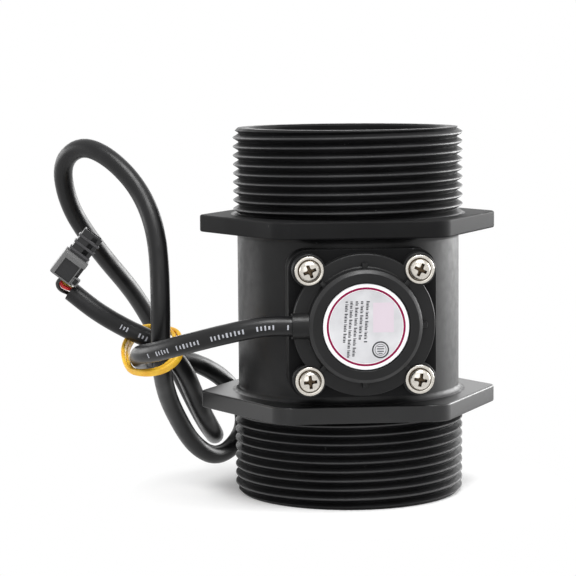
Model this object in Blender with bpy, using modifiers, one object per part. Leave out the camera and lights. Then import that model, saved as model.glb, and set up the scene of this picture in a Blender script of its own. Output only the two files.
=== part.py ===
"""Water flow sensor: a moulded pipe piece with a turbine inside and a Hall sensor under a cap.

The pipe runs along +Z and stands on its lower rim. The sensor cap faces -Y and the cable
leaves it towards -X. The origin is the middle of the footprint, on the floor.
"""
import math

import bmesh
import bpy
from mathutils import Matrix, Vector

MM = 0.001

# Fits
SEAT_GAP = 0.3 * MM        # between pieces that touch on the real sensor
RUN_CLEARANCE = 0.1 * MM   # radial play of the shaft in its bushes
BLADE_CLEARANCE = 0.6 * MM # between the blade tips and the chamber
END_FLOAT = 0.5 * MM       # axial play of the rotor at each bush
CUT = 1.0 * MM             # how far a cutter or a joined piece runs past a face

# Facets round a full turn
THREAD_STEPS = 28
WIDE_STEPS = 32
MEDIUM_STEPS = 16
SMALL_STEPS = 12
SCREW_STEPS = 14
BLADE_STEPS = 8

# Points along a bent line, and the passes that ease its corners
CURVE_STEPS = 12
EASING_STEPS = 12
CABLE_STEPS = 62
BAND_STEPS = 40
WIRE_STEPS = 12

# Pipe body
BODY_LENGTH = 95.0 * MM
THREAD_LENGTH = 22.3 * MM
THREAD_RADIUS = 29.8 * MM
THREAD_PITCH = 2.309 * MM
THREAD_DEPTH = 1.479 * MM
THREAD_CREST = 0.35 * MM
RIM_CHAMFER = 1.3 * MM
FLANGE_THICKNESS = 4.4 * MM
FLANGE_CORNER = 39.0 * MM
FLANGE_HALF_FLAT = 31.3 * MM
FLANGE_CORNER_ROUND = 1.6 * MM
FLANGE_EDGE_ROUND = 0.4 * MM
BARREL_RADIUS = 28.8 * MM
BARREL_FILLET = 1.6 * MM
MOUTH_RADIUS = 25.2 * MM
MOUTH_CHAMFER = 0.5 * MM
CHAMBER_RADIUS = 23.5 * MM
SHOULDER_DEPTH = 24.0 * MM
RING_GROOVE_DEPTH = 1.0 * MM

# Pad and cap, measured outwards from the pipe's axis along the cap's own axis
PAD_FACE = 31.0 * MM
PAD_WIDTH = 36.8 * MM
PAD_CORNER = 5.0 * MM
PAD_ROOT = 18.0 * MM
PILOT_RADIUS = 1.2 * MM
CAP_RADIUS = 17.6 * MM
CAP_FLANGE = 3.6 * MM
CAP_STEP_RADIUS = 14.2 * MM
CAP_TOP_RADIUS = 13.5 * MM
CAP_STEP = 3.7 * MM
CAP_CAVITY_RADIUS = 10.6 * MM
CAP_ROOF = 1.5 * MM
CAP_EDGE = 0.3 * MM
LUG_RADIUS = 4.1 * MM
SCREW_SPACING = 27.2 * MM
RIB_WIDTH = 1.1 * MM
RIB_HEIGHT = 1.5 * MM
TAB_WIDTH = 1.4 * MM
TAB_REACH = 1.2 * MM
LABEL_RADIUS = 10.6 * MM
LABEL_THICKNESS = 0.3 * MM

# Cap screws
HEAD_RADIUS = 3.6 * MM
HEAD_RIM = 0.7 * MM
HEAD_EDGE = 0.2 * MM
DOME_RADIUS = 2.6 * MM
DOME_HEIGHT = 1.5 * MM
SHANK_RADIUS = 0.9 * MM
SHANK_LENGTH = 9.0 * MM
CROSS_LENGTH = 3.0 * MM
CROSS_WIDTH = 0.7 * MM
CROSS_DEPTH = 1.2 * MM

# Under the cap
SEAL_RADIUS = 12.6 * MM
SEAL_SECTION = 0.85 * MM
BOARD_RADIUS = 9.6 * MM
BOARD_THICKNESS = 1.2 * MM
BOARD_RECESS = 2.0 * MM
HALL_WIDTH = 4.1 * MM
HALL_HEIGHT = 3.0 * MM
HALL_THICKNESS = 1.5 * MM
HALL_WALL = 2.4 * MM
LEG_PITCH = 1.27 * MM
LEG_WIDTH = 0.45 * MM
CHIP_SIZE = (2.0 * MM, 1.25 * MM, 0.9 * MM)
CAPACITOR_OFFSET = 3.2 * MM
RESISTOR_OFFSET = 6.0 * MM

# Turbine
HUB_RADIUS = 8.0 * MM
HUB_TAPER = 2.5 * MM
BLADES = 6
BLADE_LENGTH = 26.0 * MM
BLADE_TWIST = math.radians(62)
BLADE_THICKNESS = 1.5 * MM
BLADE_ROOT = 2.0 * MM      # how far a blade runs into the hub
MAGNET_RADIUS = 2.0 * MM
MAGNET_LENGTH = 4.0 * MM
MAGNET_WALL = 1.0 * MM
MAGNET_RECESS = 0.2 * MM
SHAFT_RADIUS = 1.5 * MM
SHAFT_EDGE = 0.3 * MM
BUSH_RADIUS = 3.5 * MM
BUSH_LENGTH = 6.0 * MM

# Turbine supports and their rings
SUPPORT_LENGTH = 9.0 * MM
SUPPORT_WALL = 2.0 * MM
SUPPORT_HUB_RADIUS = 6.5 * MM
ARM_THICKNESS = 1.8 * MM
NOSE_LENGTH = 5.0 * MM
RING_THICKNESS = 1.2 * MM
RING_WIDTH = 2.2 * MM
RING_OPENING = math.radians(34)
RING_EYE_RADIUS = 1.9 * MM
RING_HOLE_RADIUS = 0.8 * MM

# Cable, its band and its connector
CABLE_RADIUS = 2.5 * MM
CABLE_HEIGHT = 3.3 * MM    # cable's axis above the cap's seat
TUNNEL_WALL = 0.4 * MM
BAND_RADIUS = 0.6 * MM
BAND_SPREAD = 0.72 * MM
BAND_SLACK = 0.4 * MM
WIRE_RADIUS = 0.5 * MM
WIRE_SPREAD = 0.95 * MM
PLUG_PLACE = (-74.6 * MM, -3.5 * MM, 57.2 * MM)
PLUG_TILT = math.radians(38)
PLUG_WIDTH = 6.9 * MM
PLUG_THICKNESS = 7.0 * MM
PLUG_BLOCK = 7.3 * MM
PLUG_EDGE = 0.3 * MM
PANEL_WIDTH = 4.0 * MM
PANEL_LENGTH = 4.6 * MM
PANEL_DEPTH = 0.4 * MM
NOSE_WIDTH = 5.4 * MM
NOSE_THICKNESS = 5.6 * MM
PLUG_NOSE = 6.9 * MM
NOSE_WALL = 0.4 * MM
CAVITY_RADIUS = 0.8 * MM
CONTACT_PITCH = 1.9 * MM
CONTACT_RADIUS = 0.5 * MM
PIN_WIDTH = 0.4 * MM
WIRE_DEPTH = 2.0 * MM
WINDOW_SIZE = 1.3 * MM
WINDOW_OFFSET = 0.2 * MM
WINDOW_SHARES = (0.26, 0.55, 0.84)   # along the nose, as shares of its length
RIDGE_SIZE = 0.7 * MM
RIDGE_INSET = 0.3 * MM
RIDGE_SHARES = (0.16, 0.45, 0.74)
LATCH_SIZE = 0.9 * MM
LATCH_INSET = 0.5 * MM

# The cable's route from the cap to the connector, in millimetres from the pipe's axis and
# the floor. It was laid by eye along the loops of the real cable.
CABLE_ROUTE = [
    (-18.0, -34.6, 47.5), (-25.0, -34.6, 47.5), (-34.5, -33.2, 45.6), (-44.5, -28.5, 42.6),
    (-51.7, -20.5, 39.7), (-54.7, -13.2, 38.2), (-54.4, -5.8, 35.8), (-51.5, 1.8, 34.2),
    (-42.8, 11.8, 33.2), (-35.0, 19.5, 29.0), (-29.5, 26.0, 23.5), (-26.0, 31.0, 16.5),
    (-26.0, 33.0, 10.0), (-30.0, 31.0, 5.0), (-35.0, 26.5, 4.6), (-40.3, 20.5, 9.3),
    (-44.6, 12.0, 17.5), (-47.8, 2.0, 26.3), (-49.4, -10.2, 37.0), (-49.4, -13.8, 51.0),
    (-50.0, -9.0, 67.5), (-54.0, -3.0, 79.0), (-61.5, 2.5, 87.3), (-68.8, 8.6, 90.0),
    (-73.8, 14.6, 85.0), (-72.0, 20.5, 73.5), (-64.5, 26.5, 61.0), (-55.6, 36.5, 48.8),
    (-48.8, 47.0, 36.0), (-42.3, 53.0, 23.0), (-36.5, 48.5, 11.5), (-33.5, 39.0, 8.0),
    (-34.5, 28.5, 11.0), (-37.5, 18.5, 17.5), (-40.5, 10.0, 25.0), (-43.8, 0.4, 32.9),
    (-49.8, -3.4, 39.5), (-58.3, -3.0, 43.9), (-65.5, -3.4, 48.4), (-72.0, -2.0, 53.5),
]

# Where the elastic band lies round the three strands it holds, in the same units
BAND_LOOP = [
    (-57.4, -0.4, 39.4), (-57.9, -4.2, 36.6), (-56.4, -8.8, 34.1), (-52.6, -13.0, 34.2),
    (-49.0, -14.0, 35.2), (-46.5, -12.8, 37.2), (-46.0, -9.0, 39.7), (-46.3, -4.2, 42.0),
    (-50.0, 1.4, 42.7), (-54.6, 2.4, 42.0),
]

# Sizes that follow from the ones above
FLANGE_LEVELS = (THREAD_LENGTH, BODY_LENGTH - THREAD_LENGTH - FLANGE_THICKNESS)
MID_HEIGHT = BODY_LENGTH / 2
CAP_SEAT = PAD_FACE + SEAT_GAP
CAP_FLANGE_TOP = CAP_SEAT + CAP_FLANGE
CAP_TOP = CAP_FLANGE_TOP + CAP_STEP
LABEL_FLOOR = CAP_TOP - LABEL_THICKNESS - SEAT_GAP
CABLE_AXIS = CAP_SEAT + CABLE_HEIGHT
TUNNEL_RADIUS = CABLE_RADIUS + SEAT_GAP
PIPE_Y = (CAP_TOP - FLANGE_HALF_FLAT) / 2
ROTOR_LENGTH = BODY_LENGTH - 2 * (SHOULDER_DEPTH + BUSH_LENGTH + END_FLOAT)
BLADE_TIP = CHAMBER_RADIUS - BLADE_CLEARANCE
SHAFT_LENGTH = ROTOR_LENGTH + 2 * (END_FLOAT + BUSH_LENGTH)
RING_LEVEL = SHOULDER_DEPTH - SEAT_GAP - SUPPORT_LENGTH - SEAT_GAP - RING_THICKNESS


# Scene helpers

def clear_scene():
    for obj in list(bpy.data.objects):
        bpy.data.objects.remove(obj, do_unlink=True)


def make_collection(name):
    collection = bpy.data.collections.new(name)
    bpy.context.scene.collection.children.link(collection)
    return collection


def make_empty(name, location, rotation=(0, 0, 0), parent=None):
    empty = bpy.data.objects.new(name, None)
    empty.location = location
    empty.rotation_euler = rotation
    empty.parent = parent
    PARTS.objects.link(empty)
    return empty


def make_material(name, color, roughness, metallic=0.0):
    material = bpy.data.materials.new(name)
    material.use_nodes = True
    shader = material.node_tree.nodes["Principled BSDF"]
    shader.inputs["Base Color"].default_value = (*color, 1)
    shader.inputs["Roughness"].default_value = roughness
    shader.inputs["Metallic"].default_value = metallic
    return material


def new_object(name, data, parent=None, place=Matrix.Identity(4)):
    """A new object stays with the cutters until keep() makes it a part."""
    obj = bpy.data.objects.new(name, data)
    obj.parent = parent
    obj.matrix_local = place
    obj.hide_render = True
    obj.display_type = "WIRE"
    CUTTERS.objects.link(obj)
    return obj


def keep(obj, name, material, smooth_angle=35):
    CUTTERS.objects.unlink(obj)
    PARTS.objects.link(obj)
    obj.name = name
    obj.hide_render = False
    obj.display_type = "TEXTURED"
    obj.data.materials.clear()
    obj.data.materials.append(material)
    if obj.type == "MESH":
        obj.data.shade_smooth()
        obj.data.set_sharp_from_angle(angle=math.radians(smooth_angle))
    return obj


def baked(obj):
    """Turn an object and its modifiers into a welded mesh at the same place."""
    bpy.context.view_layer.update()
    depsgraph = bpy.context.evaluated_depsgraph_get()
    mesh = bpy.data.meshes.new_from_object(obj.evaluated_get(depsgraph))
    work = bmesh.new()
    work.from_mesh(mesh)
    bmesh.ops.remove_doubles(work, verts=work.verts, dist=0.00001)
    bmesh.ops.recalc_face_normals(work, faces=work.faces)
    work.to_mesh(mesh)
    work.free()
    result = new_object(obj.name, mesh, obj.parent, obj.matrix_local.copy())
    bpy.data.objects.remove(obj, do_unlink=True)
    return result


def combine(target, operation, *others):
    """Join, cut or intersect with an exact Boolean for each of the other objects."""
    for other in others:
        modifier = target.modifiers.new(operation.lower(), "BOOLEAN")
        modifier.operation = operation
        modifier.solver = "EXACT"
        modifier.object = other
    return target


# Shape helpers

def turned(name, profile, steps=WIDE_STEPS, parent=None, place=Matrix.Identity(4), closed=False):
    """Turn a profile of (radius, height) points about local Z; it runs top to bottom outside."""
    mesh = bpy.data.meshes.new(name)
    edges = [(i, i + 1) for i in range(len(profile) - 1)]
    if closed:
        edges.append((len(profile) - 1, 0))
    mesh.from_pydata([(r, 0, z) for r, z in profile], edges, [])
    obj = new_object(name, mesh, parent, place)
    screw = obj.modifiers.new("turn", "SCREW")
    screw.steps = steps
    screw.render_steps = steps
    screw.use_merge_vertices = True
    screw.merge_threshold = 0.00001
    return baked(obj)


def cylinder(name, radius, low, high, steps=MEDIUM_STEPS, parent=None, place=Matrix.Identity(4)):
    profile = [(0, high), (radius, high), (radius, low), (0, low)]
    return turned(name, profile, steps, parent, place)


def box(name, low, high, parent=None, place=Matrix.Identity(4)):
    mesh = bpy.data.meshes.new(name)
    work = bmesh.new()
    bmesh.ops.create_cube(work, size=1)
    size = [b - a for a, b in zip(low, high)]
    middle = [(a + b) / 2 for a, b in zip(low, high)]
    bmesh.ops.scale(work, vec=size, verts=work.verts)
    bmesh.ops.translate(work, vec=middle, verts=work.verts)
    work.to_mesh(mesh)
    work.free()
    return new_object(name, mesh, parent, place)


def prism(name, outline, low, high, parent=None):
    """Raise a flat outline of (x, y) points from one height to another."""
    mesh = bpy.data.meshes.new(name)
    work = bmesh.new()
    face = work.faces.new([work.verts.new((x, y, low)) for x, y in outline])
    raised = bmesh.ops.extrude_face_region(work, geom=[face])
    verts = [v for v in raised["geom"] if isinstance(v, bmesh.types.BMVert)]
    bmesh.ops.translate(work, vec=(0, 0, high - low), verts=verts)
    bmesh.ops.recalc_face_normals(work, faces=work.faces)
    work.to_mesh(mesh)
    work.free()
    return new_object(name, mesh, parent)


def arc(centre, radius, start, end, steps):
    """Points of an arc in a profile, with the angles in degrees."""
    angles = [math.radians(start + (end - start) * i / steps) for i in range(steps + 1)]
    return [(centre[0] + radius * math.cos(a), centre[1] + radius * math.sin(a)) for a in angles]


def rounded_square(width, corner, steps):
    half = width / 2 - corner
    outline = []
    for index, (sx, sy) in enumerate(((1, 1), (-1, 1), (-1, -1), (1, -1))):
        outline += arc((sx * half, sy * half), corner, 90 * index, 90 * index + 90, steps)
    return outline


def bevel(obj, width, segments, angle=60):
    modifier = obj.modifiers.new("bevel", "BEVEL")
    modifier.width = width
    modifier.segments = segments
    modifier.limit_method = "ANGLE"
    modifier.angle_limit = math.radians(angle)
    return obj


def tube(name, points, radius, material, resolution=2, cyclic=False, parent=None):
    """A wire along a list of points, with closed ends."""
    curve = bpy.data.curves.new(name, "CURVE")
    curve.dimensions = "3D"
    curve.bevel_depth = radius
    curve.bevel_resolution = resolution
    curve.use_fill_caps = not cyclic
    spline = curve.splines.new("POLY")
    spline.points.add(len(points) - 1)
    for point, place in zip(spline.points, points):
        point.co = (*place, 1)
    spline.use_cyclic_u = cyclic
    obj = baked(new_object(name, curve, parent))
    return keep(obj, name, material, smooth_angle=80)


def curve_through(route):
    """Closely spaced points of a smooth curve through all but the first and last of a route."""
    dense = []
    for a, b, c, d in zip(route, route[1:], route[2:], route[3:]):
        for step in range(CURVE_STEPS):
            t = step / CURVE_STEPS
            dense.append(0.5 * (2 * b + (c - a) * t + (2 * a - 5 * b + 4 * c - d) * t ** 2
                                + (3 * b - a - 3 * c + d) * t ** 3))
    return dense + [route[-2]]


def smooth_route(route, count):
    """Even points on a curve from a route's first point to its last, with its corners eased."""
    before = 2 * route[0] - route[1]
    after = 2 * route[-1] - route[-2]
    dense = curve_through([before] + list(route) + [after])
    for _ in range(EASING_STEPS):
        middle = [(p + 2 * q + r) / 4 for p, q, r in zip(dense, dense[1:], dense[2:])]
        dense = [dense[0]] + middle + [dense[-1]]
    return even_points(dense, count)


def closed_route(route, count):
    """Even points on a closed curve through all of a route's points."""
    return even_points(curve_through([route[-1]] + list(route) + route[:2]), count + 1)[:-1]


def even_points(line, count):
    lengths = [0.0]
    for a, b in zip(line, line[1:]):
        lengths.append(lengths[-1] + (b - a).length)
    result = []
    index = 0
    for step in range(count):
        wanted = lengths[-1] * step / (count - 1)
        while index < len(line) - 2 and lengths[index + 1] < wanted:
            index += 1
        share = (wanted - lengths[index]) / (lengths[index + 1] - lengths[index])
        result.append(line[index].lerp(line[index + 1], share))
    return result


# Pipe body

def thread_plug(name, low, high, chamfer_top):
    """A solid right-hand thread, cut to length, with its outer end chamfered."""
    root = THREAD_RADIUS - THREAD_DEPTH
    flank = (THREAD_PITCH - THREAD_CREST) / 2
    turns = math.ceil((high - low) / THREAD_PITCH) + 3
    start = low - 2 * THREAD_PITCH
    profile = []
    for turn in range(turns):
        level = start + turn * THREAD_PITCH
        profile += [(root, level), (THREAD_RADIUS, level + flank)]
        profile.append((THREAD_RADIUS, level + flank + THREAD_CREST))
    profile.append((root, start + turns * THREAD_PITCH))
    mesh = bpy.data.meshes.new(name)
    edges = [(i, i + 1) for i in range(len(profile) - 1)]
    mesh.from_pydata([(r, 0, z) for r, z in profile], edges, [])
    obj = new_object(name, mesh, FLOW_AXIS)
    screw = obj.modifiers.new("thread", "SCREW")
    screw.steps = THREAD_STEPS
    screw.render_steps = THREAD_STEPS
    screw.screw_offset = THREAD_PITCH
    obj = baked(obj)
    close_ends(obj)
    chamfer = THREAD_RADIUS - RIM_CHAMFER
    clear = THREAD_RADIUS + CUT
    slope = clear - chamfer
    if chamfer_top:
        outline = [(0, high), (chamfer, high), (clear, high - slope), (clear, low), (0, low)]
    else:
        outline = [(0, high), (clear, high), (clear, low + slope), (chamfer, low), (0, low)]
    trim = turned(name + "_trim", outline, WIDE_STEPS, FLOW_AXIS)
    return baked(combine(obj, "INTERSECT", trim))


def close_ends(obj):
    """Close each open end of a helical skin with a fan from a point on the axis."""
    work = bmesh.new()
    work.from_mesh(obj.data)
    open_edges = [e for e in work.edges if e.is_boundary]
    middle = sum(v.co.z for v in work.verts) / len(work.verts)
    for above in (True, False):
        rim = [e for e in open_edges if (e.verts[0].co.z > middle) == above]
        level = sum(e.verts[0].co.z for e in rim) / len(rim)
        centre = work.verts.new((0, 0, level))
        for edge in rim:
            work.faces.new((edge.verts[0], edge.verts[1], centre))
    bmesh.ops.recalc_face_normals(work, faces=work.faces)
    work.to_mesh(obj.data)
    work.free()


def flange(name, level):
    """A hexagon with two corners on X, cut back to narrower flats front and back."""
    flat = FLANGE_CORNER - FLANGE_HALF_FLAT / math.tan(math.radians(60))
    outline = [(FLANGE_CORNER, 0), (flat, FLANGE_HALF_FLAT), (-flat, FLANGE_HALF_FLAT)]
    outline += [(-x, -y) for x, y in outline]
    obj = prism(name, outline, level, level + FLANGE_THICKNESS, FLOW_AXIS)
    work = bmesh.new()
    work.from_mesh(obj.data)
    upright = [e for e in work.edges if abs(e.verts[0].co.z - e.verts[1].co.z) > FLANGE_THICKNESS / 2]
    bmesh.ops.bevel(work, geom=upright, offset=FLANGE_CORNER_ROUND, segments=3, profile=0.5,
                    affect="EDGES")
    work.to_mesh(obj.data)
    work.free()
    return baked(bevel(obj, FLANGE_EDGE_ROUND, 1))


def barrel():
    low = FLANGE_LEVELS[0] + FLANGE_THICKNESS
    high = FLANGE_LEVELS[1]
    outer = BARREL_RADIUS + BARREL_FILLET
    top = arc((outer, high - BARREL_FILLET), BARREL_FILLET, 90, 180, 2)
    bottom = arc((outer, low + BARREL_FILLET), BARREL_FILLET, 180, 270, 2)
    profile = [(0, high + CUT), (outer, high + CUT)] + top + bottom
    profile += [(outer, low - CUT), (0, low - CUT)]
    return turned("barrel", profile, WIDE_STEPS, FLOW_AXIS)


def pad():
    return prism("pad", rounded_square(PAD_WIDTH, PAD_CORNER, 4), PAD_ROOT, PAD_FACE, CAP_AXIS)


def bore_cutter():
    """Both mouths, the ring grooves and the turbine chamber, as one turned cutter."""
    groove = MOUTH_RADIUS + RING_GROOVE_DEPTH
    top = [
        (0, CUT), (MOUTH_RADIUS + MOUTH_CHAMFER + CUT, CUT), (MOUTH_RADIUS, -MOUTH_CHAMFER),
        (MOUTH_RADIUS, SEAT_GAP - RING_LEVEL), (groove, SEAT_GAP - RING_LEVEL),
        (groove, -RING_LEVEL - RING_THICKNESS - SEAT_GAP),
        (MOUTH_RADIUS, -RING_LEVEL - RING_THICKNESS - SEAT_GAP),
        (MOUTH_RADIUS, -SHOULDER_DEPTH), (CHAMBER_RADIUS, -SHOULDER_DEPTH),
    ]
    upper = [(r, BODY_LENGTH + z) for r, z in top]
    lower = [(r, -z) for r, z in reversed(top)]
    return turned("bore_cutter", upper + lower, WIDE_STEPS, FLOW_AXIS)


def pad_cutters():
    """Pilot holes, the seal's groove, the board's recess and the Hall sensor's well."""
    cutters = []
    for name, x, y in screw_places():
        place = Matrix.Translation((x, y, 0))
        low = CAP_SEAT - SHANK_LENGTH
        cutters.append(cylinder(name + "_pilot", PILOT_RADIUS, low, PAD_FACE + CUT, SMALL_STEPS,
                                CAP_AXIS, place))
    inner = SEAL_RADIUS - SEAL_SECTION - SEAT_GAP
    outer = SEAL_RADIUS + SEAL_SECTION + SEAT_GAP
    floor = PAD_FACE - 2 * SEAL_SECTION - SEAT_GAP
    top = PAD_FACE + CUT
    ring = [(outer, top), (outer, floor), (inner, floor), (inner, top)]
    cutters.append(turned("seal_groove", ring, WIDE_STEPS, CAP_AXIS, closed=True))
    recess = BOARD_RADIUS + SEAT_GAP
    cutters.append(cylinder("board_recess", recess, PAD_FACE - BOARD_RECESS, top, WIDE_STEPS, CAP_AXIS))
    well = (HALL_WIDTH / 2 + SEAT_GAP, HALL_HEIGHT / 2 + SEAT_GAP)
    low = (-well[0], -well[1], CHAMBER_RADIUS + HALL_WALL)
    high = (well[0], well[1], PAD_FACE - BOARD_RECESS + CUT / 2)
    cutters.append(box("hall_well", low, high, CAP_AXIS))
    return cutters


def build_housing(material):
    reach = THREAD_LENGTH + CUT
    body = barrel()
    lower = thread_plug("lower_thread", 0, reach, chamfer_top=False)
    upper = thread_plug("upper_thread", BODY_LENGTH - reach, BODY_LENGTH, chamfer_top=True)
    flanges = [flange("flange", level) for level in FLANGE_LEVELS]
    body = baked(combine(body, "UNION", *flanges))
    body = baked(combine(body, "UNION", pad()))
    body = baked(combine(body, "UNION", lower))
    body = baked(combine(body, "UNION", upper))
    body = baked(combine(body, "DIFFERENCE", bore_cutter(), *pad_cutters()))
    return keep(body, "housing", material)


# Cap, label, screws and what the cap covers

def screw_places():
    half = SCREW_SPACING / 2
    signs = ((-1, 1), (1, 1), (-1, -1), (1, -1))
    return [(f"cap_screw_{i + 1}", sx * half, sy * half) for i, (sx, sy) in enumerate(signs)]


def cap_blank():
    profile = [
        (0, LABEL_FLOOR), (LABEL_RADIUS + SEAT_GAP, LABEL_FLOOR), (LABEL_RADIUS + SEAT_GAP, CAP_TOP),
        (CAP_TOP_RADIUS - CAP_EDGE, CAP_TOP), (CAP_TOP_RADIUS, CAP_TOP - CAP_EDGE),
        (CAP_STEP_RADIUS, CAP_FLANGE_TOP), (CAP_RADIUS - CAP_EDGE, CAP_FLANGE_TOP),
        (CAP_RADIUS, CAP_FLANGE_TOP - CAP_EDGE), (CAP_RADIUS, CAP_SEAT), (0, CAP_SEAT),
    ]
    return turned("cap_blank", profile, WIDE_STEPS, CAP_AXIS)


def cap_lug(name, x, y):
    profile = [
        (0, CAP_FLANGE_TOP), (LUG_RADIUS - CAP_EDGE, CAP_FLANGE_TOP),
        (LUG_RADIUS, CAP_FLANGE_TOP - CAP_EDGE), (LUG_RADIUS, CAP_SEAT), (0, CAP_SEAT),
    ]
    return turned(name + "_lug", profile, MEDIUM_STEPS, CAP_AXIS, Matrix.Translation((x, y, 0)))


def cap_rib(name, angle, width, reach, height):
    """A short rib on the cap's flange, running out from the raised middle."""
    low = (CAP_TOP_RADIUS - CUT, -width / 2, CAP_FLANGE_TOP - CUT)
    high = (CAP_STEP_RADIUS + reach, width / 2, CAP_FLANGE_TOP + height)
    return box(name, low, high, CAP_AXIS, Matrix.Rotation(angle, 4, "Z"))


def cable_bar(name, radius, inner, outer, steps):
    """A bar along the cable's axis, from inner to outer distance from the cap's centre."""
    turn = Matrix.Rotation(math.radians(-90), 4, "Y")
    place = Matrix.Translation((0, 0, CABLE_AXIS)) @ turn
    return cylinder(name, radius, inner, outer, steps, CAP_AXIS, place)


def build_cap(material):
    cap = cap_blank()
    lugs = [cap_lug(*place) for place in screw_places()]
    diagonals = [math.radians(45 + 90 * i) for i in range(4)]
    lug_reach = math.hypot(SCREW_SPACING, SCREW_SPACING) / 2 - HEAD_RADIUS - SEAT_GAP - CAP_STEP_RADIUS
    ribs = [cap_rib("rib", a, RIB_WIDTH, lug_reach, RIB_HEIGHT) for a in diagonals]
    tabs = [cap_rib("tab", math.radians(a), TAB_WIDTH, TAB_REACH, RIB_HEIGHT) for a in (0, 90, 270)]
    tunnel = cable_bar("tunnel", TUNNEL_RADIUS + TUNNEL_WALL, CAP_TOP_RADIUS - CUT,
                       CAP_RADIUS + SEAT_GAP, MEDIUM_STEPS)
    cap = baked(combine(cap, "UNION", *lugs))
    cap = baked(combine(cap, "UNION", *ribs, *tabs))
    cap = baked(combine(cap, "UNION", tunnel))
    cavity = cylinder("cavity", CAP_CAVITY_RADIUS, CAP_SEAT - CUT, LABEL_FLOOR - CAP_ROOF, WIDE_STEPS,
                      CAP_AXIS)
    hole = cable_bar("cable_hole", TUNNEL_RADIUS, CAP_CAVITY_RADIUS - CUT, CAP_RADIUS + CUT, MEDIUM_STEPS)
    clearance = SHANK_RADIUS + 2 * SEAT_GAP
    holes = []
    for name, x, y in screw_places():
        place = Matrix.Translation((x, y, 0))
        holes.append(cylinder(name + "_hole", clearance, CAP_SEAT - CUT, CAP_FLANGE_TOP + CUT, SMALL_STEPS,
                              CAP_AXIS, place))
    cap = baked(combine(cap, "DIFFERENCE", cavity, *holes))
    cap = baked(combine(cap, "DIFFERENCE", hole))
    return keep(cap, "sensor_cap", material)


def build_label(material):
    floor = LABEL_FLOOR + SEAT_GAP
    obj = cylinder("label", LABEL_RADIUS, floor, floor + LABEL_THICKNESS, WIDE_STEPS, CAP_AXIS)
    return keep(obj, "label", material)


def build_screws(material):
    """Washer-headed screws with a cross recess, each turned a little differently."""
    seat = CAP_FLANGE_TOP + SEAT_GAP
    rim = seat + HEAD_RIM
    lower = CAP_SEAT - SHANK_LENGTH + SEAT_GAP
    dome = [(DOME_RADIUS * math.sin(math.radians(a)), rim + DOME_HEIGHT * math.cos(math.radians(a)))
            for a in (0, 30, 60, 90)]
    profile = dome + [
        (HEAD_RADIUS - HEAD_EDGE, rim), (HEAD_RADIUS, rim - HEAD_EDGE), (HEAD_RADIUS, seat),
        (SHANK_RADIUS, seat), (SHANK_RADIUS, lower + SHANK_RADIUS), (0, lower),
    ]
    for index, (name, x, y) in enumerate(screw_places()):
        turn = Matrix.Rotation(math.radians(20 + 65 * index), 4, "Z")
        place = Matrix.Translation((x, y, 0)) @ turn
        screw = turned(name, profile, SCREW_STEPS, CAP_AXIS, place)
        top = rim + DOME_HEIGHT
        slots = []
        for length, width in ((CROSS_LENGTH, CROSS_WIDTH), (CROSS_WIDTH, CROSS_LENGTH)):
            low = (-length / 2, -width / 2, top - CROSS_DEPTH)
            high = (length / 2, width / 2, top + CUT)
            slots.append(box("slot", low, high, CAP_AXIS, place))
        screw = baked(combine(screw, "DIFFERENCE", *slots))
        keep(screw, name, material)


def build_seal(material):
    level = PAD_FACE - SEAL_SECTION
    section = arc((SEAL_RADIUS, level), SEAL_SECTION, 90, -210, 5)
    obj = turned("cap_seal", section, WIDE_STEPS, CAP_AXIS, closed=True)
    return keep(obj, "cap_seal", material)


def build_board(board_material, chip_material, part_material):
    low = PAD_FACE - BOARD_RECESS + SEAT_GAP
    top = low + BOARD_THICKNESS
    board = cylinder("circuit_board", BOARD_RADIUS, low, top, WIDE_STEPS, CAP_AXIS)
    keep(board, "circuit_board", board_material)
    for name, x in (("board_capacitor", CAPACITOR_OFFSET), ("board_resistor", RESISTOR_OFFSET)):
        width, length, height = CHIP_SIZE
        base = top + SEAT_GAP
        chip = box(name, (x - width / 2, -length / 2, base), (x + width / 2, length / 2, base + height),
                   CAP_AXIS)
        keep(chip, name, part_material)
    face = CHAMBER_RADIUS + HALL_WALL + SEAT_GAP
    sensor = box("hall_sensor", (-HALL_WIDTH / 2, -HALL_HEIGHT / 2, face),
                 (HALL_WIDTH / 2, HALL_HEIGHT / 2, face + HALL_THICKNESS), CAP_AXIS)
    legs = []
    for step in (-1, 0, 1):
        x = step * LEG_PITCH
        half = LEG_WIDTH / 2
        legs.append(box("leg", (x - half, -half, face + HALL_THICKNESS / 2),
                        (x + half, half, low - SEAT_GAP), CAP_AXIS))
    sensor = baked(combine(sensor, "UNION", *legs))
    keep(sensor, "hall_sensor", chip_material)


# Turbine

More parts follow.
